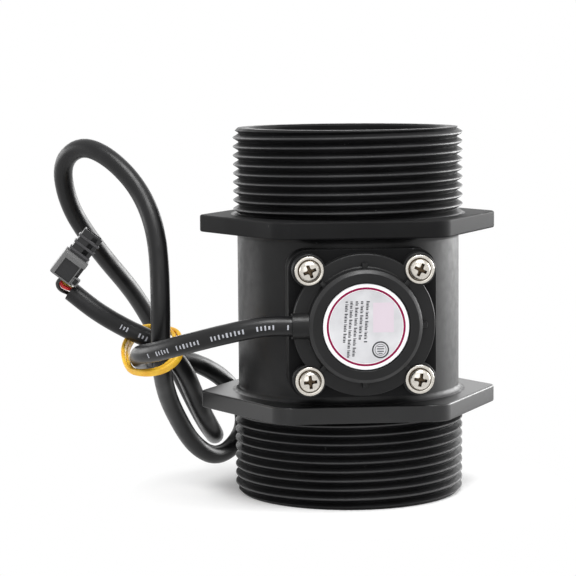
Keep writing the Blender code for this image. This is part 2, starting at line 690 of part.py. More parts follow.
def build_rotor(material):
    """A hub with helical blades. Two opposite blades carry a magnet in a boss at the tip."""
    half = ROTOR_LENGTH / 2
    small = BUSH_RADIUS + SEAT_GAP
    hub = turned("hub", [(0, half), (small, half), (HUB_RADIUS, half - HUB_TAPER),
                         (HUB_RADIUS, HUB_TAPER - half), (small, -half), (0, -half)],
                 MEDIUM_STEPS, ROTOR_AXIS)
    blades = [rotor_blade(2 * math.pi * i / BLADES) for i in range(BLADES)]
    bosses = []
    pockets = []
    for name, place in magnet_places():
        radius = MAGNET_RADIUS + SEAT_GAP + MAGNET_WALL
        bosses.append(cylinder(name + "_boss", radius, HUB_RADIUS / 2, BLADE_TIP + CUT / 2,
                               SMALL_STEPS, ROTOR_AXIS, place))
        floor = BLADE_TIP - MAGNET_LENGTH - SEAT_GAP
        pocket = MAGNET_RADIUS + SEAT_GAP
        pockets.append(cylinder(name + "_pocket", pocket, floor, BLADE_TIP + CUT, SMALL_STEPS,
                                ROTOR_AXIS, place))
    rotor = hub
    for blade in blades + bosses:
        rotor = baked(combine(rotor, "UNION", blade))
    sweep = cylinder("sweep", BLADE_TIP, -half - CUT, half + CUT, WIDE_STEPS, ROTOR_AXIS)
    bore = cylinder("rotor_bore", SHAFT_RADIUS + SEAT_GAP, -half - CUT, half + CUT, SMALL_STEPS,
                    ROTOR_AXIS)
    rotor = baked(combine(rotor, "INTERSECT", sweep))
    rotor = baked(combine(rotor, "DIFFERENCE", bore, *pockets))
    return keep(rotor, "rotor", material)


def rotor_blade(angle):
    """A thin helical plate from inside the hub to just past the blade tip."""
    mesh = bpy.data.meshes.new("blade")
    mesh.from_pydata([(HUB_RADIUS - BLADE_ROOT, 0, 0), (BLADE_TIP + CUT, 0, 0)], [(0, 1)], [])
    start = Matrix.Rotation(angle, 4, "Z") @ Matrix.Translation((0, 0, -BLADE_LENGTH / 2))
    blade = new_object("blade", mesh, ROTOR_AXIS, start)
    screw = blade.modifiers.new("sweep", "SCREW")
    screw.angle = BLADE_TWIST
    screw.screw_offset = BLADE_LENGTH
    screw.steps = BLADE_STEPS
    screw.render_steps = BLADE_STEPS
    wall = blade.modifiers.new("wall", "SOLIDIFY")
    wall.thickness = BLADE_THICKNESS
    wall.offset = 0
    return baked(blade)


def magnet_places():
    """Radial axes through the middle of two opposite blades."""
    places = []
    for index, turn in enumerate((0, math.pi)):
        angle = turn + BLADE_TWIST / 2
        place = Matrix.Rotation(angle, 4, "Z") @ Matrix.Rotation(math.radians(90), 4, "Y")
        places.append((f"rotor_magnet_{index + 1}", place))
    return places


def build_magnets(material):
    for name, place in magnet_places():
        obj = cylinder(name, MAGNET_RADIUS, BLADE_TIP - MAGNET_LENGTH, BLADE_TIP - MAGNET_RECESS,
                       SMALL_STEPS, ROTOR_AXIS, place)
        keep(obj, name, material)


def build_shaft(material):
    half = SHAFT_LENGTH / 2
    end = SHAFT_RADIUS - SHAFT_EDGE
    obj = turned("rotor_shaft", [(0, half), (end, half), (SHAFT_RADIUS, half - SHAFT_EDGE),
                                 (SHAFT_RADIUS, SHAFT_EDGE - half), (end, -half), (0, -half)],
                 SMALL_STEPS, ROTOR_AXIS)
    keep(obj, "rotor_shaft", material)


# Supports at both ends, each built for the lower end and turned over for the upper one

def end_place(side):
    if side == "lower":
        return Matrix.Identity(4)
    return Matrix.Translation((0, 0, BODY_LENGTH)) @ Matrix.Rotation(math.pi, 4, "X")


def build_support(side, material):
    place = end_place(side)
    high = SHOULDER_DEPTH - SEAT_GAP
    low = high - SUPPORT_LENGTH
    outer = MOUTH_RADIUS - SEAT_GAP
    inner = outer - SUPPORT_WALL
    ring = turned("ring", [(outer, high), (outer, low), (inner, low), (inner, high)], WIDE_STEPS,
                  FLOW_AXIS, place, closed=True)
    top = SHOULDER_DEPTH + BUSH_LENGTH
    nose = [(SUPPORT_HUB_RADIUS * math.cos(math.radians(a)), low - NOSE_LENGTH * math.sin(math.radians(a)))
            for a in (0, 25, 50, 70, 90)]
    hub = turned("support_hub", [(0, top), (SUPPORT_HUB_RADIUS - CUT, top),
                                 (SUPPORT_HUB_RADIUS, top - CUT)] + nose, MEDIUM_STEPS, FLOW_AXIS, place)
    arms = []
    for turn in (45, 135):
        reach = inner + SUPPORT_WALL / 2
        arms.append(box("arm", (-reach, -ARM_THICKNESS / 2, low), (reach, ARM_THICKNESS / 2, high),
                        FLOW_AXIS, place @ Matrix.Rotation(math.radians(turn), 4, "Z")))
    support = baked(combine(hub, "UNION", *arms))
    support = baked(combine(support, "UNION", ring))
    pocket = cylinder("bush_pocket", BUSH_RADIUS + SEAT_GAP, SHOULDER_DEPTH - SEAT_GAP, top + CUT,
                      MEDIUM_STEPS, FLOW_AXIS, place)
    support = baked(combine(support, "DIFFERENCE", pocket))
    keep(support, side + "_support", material)


def build_bush(side, material):
    inner = SHAFT_RADIUS + RUN_CLEARANCE
    low = SHOULDER_DEPTH
    high = SHOULDER_DEPTH + BUSH_LENGTH
    obj = turned(side + "_bush", [(BUSH_RADIUS, high), (BUSH_RADIUS, low), (inner, low), (inner, high)],
                 MEDIUM_STEPS, FLOW_AXIS, end_place(side), closed=True)
    keep(obj, side + "_bush", material)


def build_retaining_ring(side, material):
    """An internal spring ring: an open hoop in the groove, with an eye at each end.

    The pieces are joined overlong and then cut to one thickness, so no two faces coincide.
    """
    place = end_place(side)
    low = RING_LEVEL
    high = low + RING_THICKNESS
    outer = MOUTH_RADIUS + RING_GROOVE_DEPTH - SEAT_GAP
    inner = outer - RING_WIDTH
    hoop = turned(side + "_hoop", [(outer, high + CUT), (outer, low - CUT), (inner, low - CUT),
                                   (inner, high + CUT)], WIDE_STEPS, FLOW_AXIS, place, closed=True)
    front = math.radians(-90)
    reach = 1.5 * outer
    spread = [(reach * math.cos(front + a), reach * math.sin(front + a))
              for a in (-RING_OPENING / 2, RING_OPENING / 2)]
    gap = prism("ring_gap", [(0, 0)] + spread, low - 2 * CUT, high + 2 * CUT, FLOW_AXIS)
    gap.matrix_local = place
    eyes = []
    holes = []
    half_facet = Matrix.Rotation(math.pi / SMALL_STEPS, 4, "Z")
    for turn in (-RING_OPENING / 2, RING_OPENING / 2):
        spot = place @ Matrix.Rotation(front + turn, 4, "Z") @ Matrix.Translation((inner, 0, 0)) @ half_facet
        eyes.append(cylinder("eye", RING_EYE_RADIUS, low - 2 * CUT, high + 2 * CUT, SMALL_STEPS,
                             FLOW_AXIS, spot))
        holes.append(cylinder("eye_hole", RING_HOLE_RADIUS, low - CUT, high + CUT, SMALL_STEPS,
                              FLOW_AXIS, spot))
    slab = cylinder("slab", outer + CUT, low, high, WIDE_STEPS, FLOW_AXIS, place)
    hoop = baked(combine(hoop, "DIFFERENCE", gap))
    hoop = baked(combine(hoop, "UNION", *eyes))
    hoop = baked(combine(hoop, "INTERSECT", slab))
    hoop = baked(combine(hoop, "DIFFERENCE", *holes))
    keep(hoop, side + "_retaining_ring", material)


# Cable, band and connector

def cable_route():
    """The cable's line from inside the cap to the end of its jacket, from the pipe's axis."""
    route = [Vector(point) * MM for point in CABLE_ROUTE]
    inside = Vector((CUT / 2 - CAP_CAVITY_RADIUS, route[0].y, route[0].z))
    return [inside] + smooth_route(route, CABLE_STEPS)


def build_cable(material):
    return tube("cable", cable_route(), CABLE_RADIUS, material, parent=FLOW_AXIS)


def build_band(material):
    """An elastic loop laid twice round the strands, the second turn beside the first."""
    once = BAND_STEPS // 2
    loop = closed_route([Vector(point) * MM for point in BAND_LOOP], once)
    centre = sum(loop, Vector()) / once
    normal = sum(((a - centre).cross(b - centre) for a, b in zip(loop, loop[1:])), Vector()).normalized()
    points = []
    for step in range(BAND_STEPS):
        place, following = loop[step % once], loop[(step + 1) % once]
        outward = (following - place).normalized().cross(normal)
        lift = math.sin(math.pi * step / once)
        points.append(place + outward * (BAND_SLACK + BAND_SPREAD * (lift + lift ** 2))
                      + normal * BAND_SPREAD * math.cos(math.pi * step / once))
    tube("cable_band", points, BAND_RADIUS, material, cyclic=True, parent=FLOW_AXIS)


def contact_offsets():
    """The three contacts stand behind one another, from the front one at -Y to the rear one."""
    return [(f"contact_{i + 1}", (i - 1) * CONTACT_PITCH) for i in range(3)]


def plug_box(name, x_span, y_span, z_span):
    corners = list(zip(x_span, y_span, z_span))
    return box(name, corners[0], corners[1], PLUG_AXIS)


def plug_body():
    """The block with its latch bead and the narrower nose with three ridges on one side."""
    half = PLUG_WIDTH / 2
    thick = PLUG_THICKNESS / 2
    nose = NOSE_WIDTH / 2
    nose_thick = NOSE_THICKNESS / 2
    body = baked(bevel(plug_box("block", (-half, half), (-thick, thick), (0, PLUG_BLOCK)),
                       PLUG_EDGE, 1))
    pieces = [plug_box("nose", (-nose, nose), (-nose_thick, nose_thick),
                       (PLUG_BLOCK - CUT, PLUG_BLOCK + PLUG_NOSE))]
    pieces.append(plug_box("latch", (half - CUT, half + LATCH_SIZE), (LATCH_INSET - thick, 0),
                           (LATCH_SIZE, 3 * LATCH_SIZE)))
    for share in RIDGE_SHARES:
        level = PLUG_BLOCK + share * PLUG_NOSE
        pieces.append(plug_box("ridge", (-nose - RIDGE_SIZE / 2, CUT - nose),
                               (RIDGE_INSET - nose_thick, nose_thick - RIDGE_INSET),
                               (level - RIDGE_SIZE / 2, level + RIDGE_SIZE / 2)))
    return baked(combine(body, "UNION", *pieces))


def build_connector(plastic, metal):
    thick = PLUG_THICKNESS / 2
    inner = (NOSE_WIDTH / 2 - NOSE_WALL, NOSE_THICKNESS / 2 - NOSE_WALL)
    tip = PLUG_BLOCK + PLUG_NOSE
    cutters = [
        plug_box("panel", (-PANEL_WIDTH / 2, PANEL_WIDTH / 2), (-thick - CUT, PANEL_DEPTH - thick),
                 (-CUT, PANEL_LENGTH)),
        plug_box("pocket", (-inner[0], inner[0]), (-inner[1], inner[1]),
                 (PLUG_BLOCK - CUT, tip + CUT)),
    ]
    side = WINDOW_SIZE / 2
    for share in WINDOW_SHARES:
        level = PLUG_BLOCK + share * PLUG_NOSE
        cutters.append(plug_box("window", (WINDOW_OFFSET, WINDOW_OFFSET + WINDOW_SIZE),
                                (-NOSE_THICKNESS / 2 - CUT, CUT - inner[1]),
                                (level - side, level + side)))
    for name, y in contact_offsets():
        place = Matrix.Translation((0, y, 0))
        cutters.append(cylinder("cavity", CAVITY_RADIUS, -CUT, PLUG_BLOCK - CUT / 2, SMALL_STEPS,
                                PLUG_AXIS, place))
        crimp = cylinder(name, CONTACT_RADIUS, WIRE_DEPTH + SEAT_GAP, PLUG_BLOCK - CUT, SMALL_STEPS,
                         PLUG_AXIS, place)
        half = PIN_WIDTH / 2
        pin = plug_box("pin", (-half, half), (y - half, y + half), (PLUG_BLOCK - 2 * CUT, tip - CUT / 2))
        keep(baked(combine(crimp, "UNION", pin)), name, metal)
    keep(baked(combine(plug_body(), "DIFFERENCE", *cutters)), "connector_housing", plastic)


def build_wires(colors):
    """Three wires from the end of the jacket into the back of the connector."""
    end, before = cable_route()[-1], cable_route()[-2]
    along = (end - before).normalized()
    down = (Vector((0, 0, -1)) - along * -along.z).normalized()
    side = along.cross(down)
    frame = Matrix.Translation(PLUG_PLACE) @ Matrix.Rotation(PLUG_TILT, 4, "Y")
    bends = {
        "wire_black": (0, [(2.2, 0.6, -2.5), (0.9, -0.6, -2.2), (0.0, -1.4, -1.3)], -1),
        "wire_red": (120, [(2.6, 0.3, -1.3), (1.5, 0.0, -1.35), (0.4, 0.0, -0.8)], 0),
        "wire_yellow": (240, [(2.5, 2.1, -1.0), (1.0, 2.0, -0.8)], 1),
    }
    for name, (angle, middle, slot) in bends.items():
        turn = math.radians(angle)
        offset = (down * math.cos(turn) + side * math.sin(turn)) * WIRE_SPREAD
        y = slot * CONTACT_PITCH
        points = [end + along * SEAT_GAP + offset, end + along * 2 * SEAT_GAP + offset]
        points += [frame @ (Vector(point) * MM) for point in middle]
        points += [frame @ Vector((0, y, z)) for z in (0, WIRE_DEPTH)]
        tube(name, smooth_route(points, WIRE_STEPS), WIRE_RADIUS, colors[name], 1,
             parent=FLOW_AXIS)


# Assembly

def build_all():
    black = make_material("black_nylon", (0.025, 0.025, 0.027), 0.5)
    jacket = make_material("black_jacket", (0.02, 0.02, 0.021), 0.4)
    steel = make_material("stainless_steel", (0.72, 0.69, 0.64), 0.25, 1.0)
    white = make_material("white_label", (0.85, 0.85, 0.87), 0.4)
    seal = make_material("seal_rubber", (0.03, 0.03, 0.03), 0.7)
    green = make_material("green_board", (0.02, 0.18, 0.08), 0.4)
    chip = make_material("chip_epoxy", (0.03, 0.03, 0.03), 0.4)
    ceramic = make_material("chip_ceramic", (0.45, 0.36, 0.26), 0.5)
    acetal = make_material("natural_acetal", (0.78, 0.78, 0.74), 0.45)
    magnet = make_material("nickel_magnet", (0.6, 0.6, 0.6), 0.3, 1.0)
    bush = make_material("bush_bronze", (0.55, 0.38, 0.18), 0.35, 1.0)
    yellow = make_material("yellow_band", (0.85, 0.5, 0.03), 0.5)
    plastic = make_material("connector_nylon", (0.03, 0.03, 0.032), 0.45)
    tin = make_material("tinned_brass", (0.75, 0.73, 0.68), 0.3, 1.0)
    wires = {
        "wire_red": make_material("red_insulation", (0.65, 0.02, 0.02), 0.4),
        "wire_black": make_material("black_insulation", (0.02, 0.02, 0.02), 0.4),
        "wire_yellow": make_material("yellow_insulation", (0.8, 0.6, 0.05), 0.4),
    }
    build_housing(black)
    build_cap(black)
    build_label(white)
    build_screws(steel)
    build_seal(seal)
    build_board(green, chip, ceramic)
    build_rotor(acetal)
    build_magnets(magnet)
    build_shaft(steel)
    for side in ("lower", "upper"):
        build_support(side, black)
        build_bush(side, bush)
        build_retaining_ring(side, steel)
    build_cable(jacket)
    build_band(yellow)
    build_connector(plastic, tin)
    build_wires(wires)


clear_scene()
PARTS = make_collection("water_flow_sensor")
CUTTERS = make_collection("cutters")
FLOW_AXIS = make_empty("flow_axis", (0, PIPE_Y, 0))
ROTOR_AXIS = make_empty("rotor_axis", (0, 0, MID_HEIGHT), parent=FLOW_AXIS)
CAP_AXIS = make_empty("cap_axis", (0, 0, MID_HEIGHT), (math.radians(90), 0, 0), FLOW_AXIS)
PLUG_AXIS = make_empty("plug_axis", PLUG_PLACE, (0, PLUG_TILT, 0), FLOW_AXIS)
build_all()
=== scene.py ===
"""Looks of the water flow sensor: materials, finer surfaces, cable, light and camera."""
import math
from contextlib import contextmanager

import bmesh
import bpy
from mathutils import Matrix, Vector


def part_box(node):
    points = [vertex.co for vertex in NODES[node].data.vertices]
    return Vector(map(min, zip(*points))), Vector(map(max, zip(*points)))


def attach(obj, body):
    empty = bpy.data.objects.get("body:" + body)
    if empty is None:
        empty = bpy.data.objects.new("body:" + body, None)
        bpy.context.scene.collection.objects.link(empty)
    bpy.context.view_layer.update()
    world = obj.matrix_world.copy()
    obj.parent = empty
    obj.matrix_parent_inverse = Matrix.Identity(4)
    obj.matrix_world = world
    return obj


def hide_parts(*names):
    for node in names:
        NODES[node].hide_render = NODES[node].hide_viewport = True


MM = 0.001
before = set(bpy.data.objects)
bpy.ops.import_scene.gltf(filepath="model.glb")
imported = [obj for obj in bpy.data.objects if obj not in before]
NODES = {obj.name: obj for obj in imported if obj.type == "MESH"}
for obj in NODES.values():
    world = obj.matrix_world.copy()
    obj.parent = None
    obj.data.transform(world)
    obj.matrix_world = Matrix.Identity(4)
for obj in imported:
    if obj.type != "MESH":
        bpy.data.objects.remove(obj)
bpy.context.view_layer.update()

# The pipe's axis and the cap's centre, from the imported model
PIPE = sum((Vector(corner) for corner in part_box("rotor_shaft")), Vector()) / 2
PIPE_AXIS = Matrix.Translation((PIPE.x, PIPE.y, 0))
CAP_AXIS = Matrix.Translation(PIPE) @ Matrix.Rotation(math.radians(90), 4, "X")
BODY_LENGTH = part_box("housing")[1][2]

# How the meshes are made
WELD = 0.002 * MM
CUT = 1.0 * MM       # how far a cutter or a joined piece runs past a face
FINE = 144           # facets round a full turn
MEDIUM = 64
SMALL = 32
EDGE_STEPS = 4
ARC_STEPS = 5
FILLET_STEPS = 8
CORNER_STEPS = 10
NEAR = 0.1 * MM      # how close counts as the same place
SHARP_ANGLE = 32     # degrees
BEVEL_ANGLE = 35
WIDE_ANGLE = 60

# Body
SEAT_GAP = 0.3 * MM
THREAD_LENGTH = 22.3 * MM
THREAD_RADIUS = 29.8 * MM
THREAD_PITCH = 2.309 * MM
THREAD_DEPTH = 1.479 * MM
ROOT_ROUND = (0.12 * MM, 0.16 * MM)    # out from the root, and along the pipe
CREST_ROUND = (0.16 * MM, 0.26 * MM)   # in from the crest, and along the pipe from its middle
CREST_HALF = 0.12 * MM
RIM_CHAMFER = 1.3 * MM
FLANGE_THICKNESS = 4.4 * MM
FLANGE_CORNER = 39.0 * MM
FLANGE_HALF_FLAT = 31.3 * MM
FLANGE_CORNER_ROUND = 1.6 * MM
FLANGE_FRONT_ROUND = 3.4 * MM
FLANGE_EDGE_ROUND = 0.5 * MM
FLANGE_LEVELS = (THREAD_LENGTH, BODY_LENGTH - THREAD_LENGTH - FLANGE_THICKNESS)
BARREL_RADIUS = 28.8 * MM
BARREL_FILLET = 1.6 * MM
MOUTH_RADIUS = 25.2 * MM
MOUTH_CHAMFER = 0.5 * MM
CHAMBER_RADIUS = 23.5 * MM
SHOULDER_DEPTH = 24.0 * MM
RING_GROOVE = (12.9 * MM, 14.7 * MM, 26.2 * MM)   # start and end below the rim, and radius
PAD_FACE = 31.0 * MM
PAD_WIDTH = 36.8 * MM
PAD_CORNER = 5.0 * MM
PAD_ROOT = 18.0 * MM
SMALL_EDGE = 0.2 * MM

# Cap and screws: levels are from the pipe's axis
CAP_SEAT = 31.3 * MM
CAP_FLANGE_TOP = 34.9 * MM
CAP_TOP = 38.6 * MM
CAP_RADIUS = 17.6 * MM
CAP_EDGE = 0.35 * MM
CAP_STEP_RADIUS = 14.2 * MM
CAP_TOP_RADIUS = 13.5 * MM
CAP_SHOULDER = ((13.0, 0.0), (13.15, 0.06), (13.85, 0.68), (13.98, 0.85))   # radius and depth, in mm
RIB_WIDTH = 1.1 * MM
RIB_HEIGHT = 1.5 * MM
TAB_WIDTH = 1.4 * MM
TAB_REACH = 1.2 * MM
TAB_ANGLES = (0, 90, 270)
TUNNEL_WALL = 0.4 * MM
TUNNEL_DEPTH = 3.0 * MM
LUG_RADIUS = 4.1 * MM
SCREW_SPACING = 27.2 * MM
SCREW_TURNS = (20, 65, 5, 80)   # degrees
SCREW_RIM = 35.9 * MM
HEAD_RADIUS = 3.6 * MM
HEAD_EDGE = 0.3 * MM
HEAD_GROOVE = ((2.6, 0.2), (2.75, 0.2), (2.85, 0.05), (3.0, 0.0))   # radius and depth, in mm
GROOVE_SHADOW = (2.56 * MM, 2.82 * MM)
SHANK_RADIUS = 0.9 * MM
DOME_RADIUS = 2.6 * MM
DOME_HEIGHT = 1.45 * MM
DOME_FULLNESS = 0.8
DOME_STEP = 6                   # degrees
CROSS_HALF = (2.05 * MM, 0.46 * MM)
CROSS_TAPER = (0.6, 0.7)
CROSS_DEPTH = 1.5 * MM
CROSS_SHADOW = 2.1 * MM
CROSS_LIP = 0.06 * MM
CONE_RADIUS = 0.75 * MM
CONE_LEVELS = (0.3 * MM, 1.6 * MM)

# Label. Its print is in millimetres from the label's middle: rows of bars from BAR_TOP down to their ends,
# and a repeating run of each bar's length, the gap below it and its reach across the row
LABEL_RADIUS = 10.6 * MM
LABEL_FACE = 38.3 * MM
LABEL_EDGE = 0.05 * MM
HAIR = 0.015 * MM
MARGIN_RING = (9.05, 10.5)
CRIMSON_RING = (9.17, 9.7)
FIELD = ((1.7, -1.4), (6.8, -1.4), (6.8, 5.9), (1.7, 5.9))
BAR_TOP = 6.3
BAR_LEAN = 0.07
BAR_INSET = 0.36
BAR_SHIFT = 4
BAR_LIFT = 0.8 * HAIR
BAR_ROWS = ((0.45, -3.9), (-0.9, -3.0), (-2.2, -7.6), (-3.5, -7.4), (-4.7, -4.0))
BAR_STEPS = ((0.3, 0.14, 0.8), (0.16, 0.12, 0.58), (0.34, 0.12, 0.58), (0.14, 0.16, 0.8), (0.3, 0.13, 0.58),
             (0.28, 0.42, 0.58), (0.16, 0.14, 0.8), (0.34, 0.12, 0.58), (0.3, 0.14, 0.58), (0.15, 0.14, 0.8),
             (0.3, 0.5, 0.58))
MARK_PLACE = (3.5 * MM, -5.7 * MM, 0)
MARK_RINGS = {"label_mark": (1.75, 2.1), "label_mark_inner": (1.3, 1.42)}
MARK_BARS = ((2.7, -5.0, 4.3, -4.8), (2.6, -5.6, 4.4, -5.35), (2.7, -6.2, 4.3, -5.95), (3.0, -6.7, 4.0, -6.5))

# The cable's route and the band's loop, in millimetres from the pipe's axis and the floor,
# as the CAD lays them
CABLE_RADIUS = 2.5 * MM
CABLE_AXIS = 34.6 * MM
CABLE_INSIDE = 7.9 * MM     # from the cap's rim inwards
CABLE_POINTS = 320
CABLE_ROUTE = [
    (-18.0, -34.6, 47.5), (-25.0, -34.6, 47.5), (-34.5, -33.2, 45.6), (-44.5, -28.5, 42.6),
    (-51.7, -20.5, 39.7), (-54.7, -13.2, 38.2), (-54.4, -5.8, 35.8), (-51.5, 1.8, 34.2),
    (-42.8, 11.8, 33.2), (-35.0, 19.5, 29.0), (-29.5, 26.0, 23.5), (-26.0, 31.0, 16.5),
    (-26.0, 33.0, 10.0), (-30.0, 31.0, 5.0), (-35.0, 26.5, 4.6), (-40.3, 20.5, 9.3),
    (-44.6, 12.0, 17.5), (-47.8, 2.0, 26.3), (-49.4, -10.2, 37.0), (-49.4, -13.8, 51.0),
    (-50.0, -9.0, 67.5), (-54.0, -3.0, 79.0), (-61.5, 2.5, 87.3), (-68.8, 8.6, 90.0),
    (-73.8, 14.6, 85.0), (-72.0, 20.5, 73.5), (-64.5, 26.5, 61.0), (-55.6, 36.5, 48.8),
    (-48.8, 47.0, 36.0), (-42.3, 53.0, 23.0), (-36.5, 48.5, 11.5), (-33.5, 39.0, 8.0),
    (-34.5, 28.5, 11.0), (-37.5, 18.5, 17.5), (-40.5, 10.0, 25.0), (-43.8, 0.4, 32.9),
    (-49.8, -3.4, 39.5), (-58.3, -3.0, 43.9), (-65.5, -3.4, 48.4), (-72.0, -2.0, 53.5),
]
CURVE_STEPS = 12
EASING_PASSES = 12
BAND_LOOP = [
    (-57.4, -0.4, 39.4), (-57.9, -4.2, 36.6), (-56.4, -8.8, 34.1), (-52.6, -13.0, 34.2),
    (-49.0, -14.0, 35.2), (-46.5, -12.8, 37.2), (-46.0, -9.0, 39.7), (-46.3, -4.2, 42.0),
    (-50.0, 1.4, 42.7), (-54.6, 2.4, 42.0),
]
BAND_POINTS = 90            # for one of its two turns
BAND_SIDES = 16
BAND_FLATNESS = 0.6
BAND_HALF_WIDTH = 0.95 * MM
BAND_HALF_THICKNESS = 0.55 * MM
BAND_SPREAD = 0.72 * MM
BAND_SLACK = 0.4 * MM

# The jacket's print: where each group starts along the cable, and how many ticks it has, in millimetres
PRINT_GROUPS = ((8.8, 1), (12.3, 5), (19.5, 9), (30.5, 7), (39.0, 5), (46.0, 1), (431.5, 3), (437.0, 3))
PRINT_PITCH = 0.95
TICK_WIDTH = 0.38
TICK_REACH = 0.48           # round the jacket, in radians
TICK_SHARES = (1, 0.7, 1, 0.85)
TICK_GRID = (3, 5)
TICK_LIFT = 0.03 * MM

# Plug, in millimetres on its own axes: across, back and towards the tip
PLUG_PLACE = (-74.6 * MM, -3.5 * MM, 57.2 * MM)
PLUG_TILT = math.radians(38)
PLUG_AXIS = PIPE_AXIS @ Matrix.Translation(PLUG_PLACE) @ Matrix.Rotation(PLUG_TILT, 4, "Y")
PLUG_SIDE = 3.45
PLUG_FRONT = -3.5
PLUG_BLOCK = 7.3
PLUG_TIP = 14.2
PLUG_SLOPE = 0.75
NOSE_SIDE = 2.7
NOSE_FRONT = -2.8
NOSE_WALL = 0.4
LATCH = ((1.85, 4.35), (-3.1, 0), (0.5, 2.7))
BACK_STEP = ((2.55, 4.45), (-4.5, -1.3), (-1, 5.5))
PANEL = ((-2.3, 2.2), (-4.5, -3.0), (0.45, 5.3))
CATCH = ((2.9, 4.0), (-3.5, -2.3), (0.85, 2.35))
WINDOW = ((0.25, 1.65), (-3.8, -1.4))
WINDOW_HALF = 0.62
WINDOW_LEVELS = (9.094, 11.095, 13.096)
SIDE_BAR = ((-3.05, -1.7), (-2.5, 2.5))
FRONT_BAR = ((-3.0, 3.0), (-3.05, -1.8))
BAR_HALF = 0.33
BAR_LEVELS = (8.0935, 10.0945, 12.0955)
PLUG_EDGE = 0.12 * MM
CAVITY_RADIUS = 0.8 * MM
CONTACT_PITCH = 1.9
WIRE_DEPTH = 2.0
WIRE_RADIUS = 0.5 * MM
WIRE_SPREAD = 0.95 * MM
WIRE_POINTS = 60
# Each wire's shade, its turn round the cable's end in degrees, its bends on the plug's axes, and its cavity
WIRES = {
    "black": ((0.015, 0.015, 0.015), 0, [(2.2, 0.6, -2.5), (0.9, -0.6, -2.2), (0.0, -1.4, -1.3)], -1),
    "red": ((0.6, 0.02, 0.02), 120, [(2.6, 0.3, -1.3), (1.5, 0.0, -1.35), (0.4, 0.0, -0.8)], 0),
    "yellow": ((0.8, 0.62, 0.06), 240, [(2.5, 2.1, -1.0), (1.0, 2.0, -0.8)], 1),
}

# Camera, fitted to the photograph: distance and height are from the pipe's axis and the floor
CAMERA_DISTANCE = 551.6 * MM
CAMERA_HEIGHT = 113.1 * MM
CAMERA_AROUND = math.radians(6.555)
CAMERA_PAN = math.radians(-1.633)
CAMERA_PITCH = math.radians(6.217)
CAMERA_ROLL = math.radians(-0.458)
CAMERA_LENS = 132.58
CAMERA_SENSOR = 36
CAMERA_CLIP = (0.01, 20)

# Light: each lamp's name, place, aim, size and power
MIDDLE = (0, 0, 0.05)
LAMPS = (
    ("right_softbox", (0.79, 0.42, 0.12), MIDDLE, (0.75, 0.6), 15),
    ("left_softbox", (-0.79, 0.4, 0.12), MIDDLE, (0.6, 0.5), 3.2),
    ("top_softbox", (0.06, -0.32, 0.8), MIDDLE, (0.45, 0.35), 6),
    ("backdrop", (0, 0.9, 0.2), (0, 0, 0.06), (1.4, 0.5), 2.8),
    ("front_fill", (-0.25, -0.9, 0.3), MIDDLE, (0.6, 0.5), 1.0),
)
AMBIENT = 0.5
FLOOR_REACH = 3.0
FLOOR_SHADE = 0.85
FLOOR_ROUGHNESS = 0.8
FLOOR_GLOW = 0.15
FLOOR_FADE = (0.032, 0.058)   # metres from the object's middle

# Depths of the fine grain and of the soft dents in a surface, and half the width of the soft edge of a ring
# of painted highlight
GRAIN = 0.02 * MM
DENTS = 0.2 * MM
RING_EDGE = 0.1 * MM


# Camera and light

def link(obj):
    bpy.context.scene.collection.objects.link(obj)
    return obj


def build_camera():
    data = bpy.data.cameras.new("camera")
    data.sensor_width = CAMERA_SENSOR
    data.lens = CAMERA_LENS
    data.clip_start, data.clip_end = CAMERA_CLIP
    camera = link(bpy.data.objects.new("camera", data))
    place = (PIPE.x - CAMERA_DISTANCE * math.sin(CAMERA_AROUND),
             PIPE.y - CAMERA_DISTANCE * math.cos(CAMERA_AROUND), CAMERA_HEIGHT)
    heading = Matrix.Rotation(-CAMERA_AROUND - CAMERA_PAN, 4, "Z")
    pitch = Matrix.Rotation(math.pi / 2 - CAMERA_PITCH, 4, "X")
    roll = Matrix.Rotation(CAMERA_ROLL, 4, "Z")
    camera.matrix_world = Matrix.Translation(place) @ heading @ pitch @ roll
    bpy.context.scene.camera = camera


def build_lamps():
    for name, place, aim, size, power in LAMPS:
        data = bpy.data.lights.new(name, "AREA")
        data.shape = "RECTANGLE"
        data.size, data.size_y = size
        data.energy = power
        lamp = link(bpy.data.objects.new(name, data))
        lamp.location = place
        lamp.rotation_euler = (Vector(aim) - Vector(place)).to_track_quat("-Z", "Y").to_euler()


def add_node(tree, kind, links=(), values=(), **settings):
    """A new node with its settings. Links and values go to its inputs, by their names or numbers."""
    node = tree.nodes.new(kind)
    for name, value in settings.items():
        setattr(node, name, value)
    for key, value in dict(values).items():
        node.inputs[key].default_value = value
    for key, source in dict(links).items():
        tree.links.new(source, node.inputs[key])
    return node


def mixed_shader(tree, share, first, second):
    return add_node(tree, "ShaderNodeMixShader", {0: share, 1: first, 2: second}).outputs[0]


def seen_directly(tree):
    """1 for rays that show the backdrop itself: to the camera, by a reflection or through glass."""
    path = add_node(tree, "ShaderNodeLightPath").outputs
    total = path["Is Camera Ray"]
    for name in ("Is Glossy Ray", "Is Transmission Ray"):
        total = add_node(tree, "ShaderNodeMath", {0: total, 1: path[name]}, operation="MAXIMUM").outputs[0]
    return total


def build_world():
    """White where it is seen, and a plain grey as light on the object."""
    world = bpy.data.worlds.new("studio")
    world.use_nodes = True
    tree = world.node_tree
    ambient = tree.nodes["Background"]
    ambient.inputs["Color"].default_value = (AMBIENT, AMBIENT, AMBIENT, 1)
    white = add_node(tree, "ShaderNodeBackground", values={"Color": (1, 1, 1, 1)})
    sky = mixed_shader(tree, seen_directly(tree), ambient.outputs[0], white.outputs[0])
    tree.links.new(sky, tree.nodes["World Output"].inputs["Surface"])
    bpy.context.scene.world = world
    bpy.context.scene.view_settings.view_transform = "Standard"


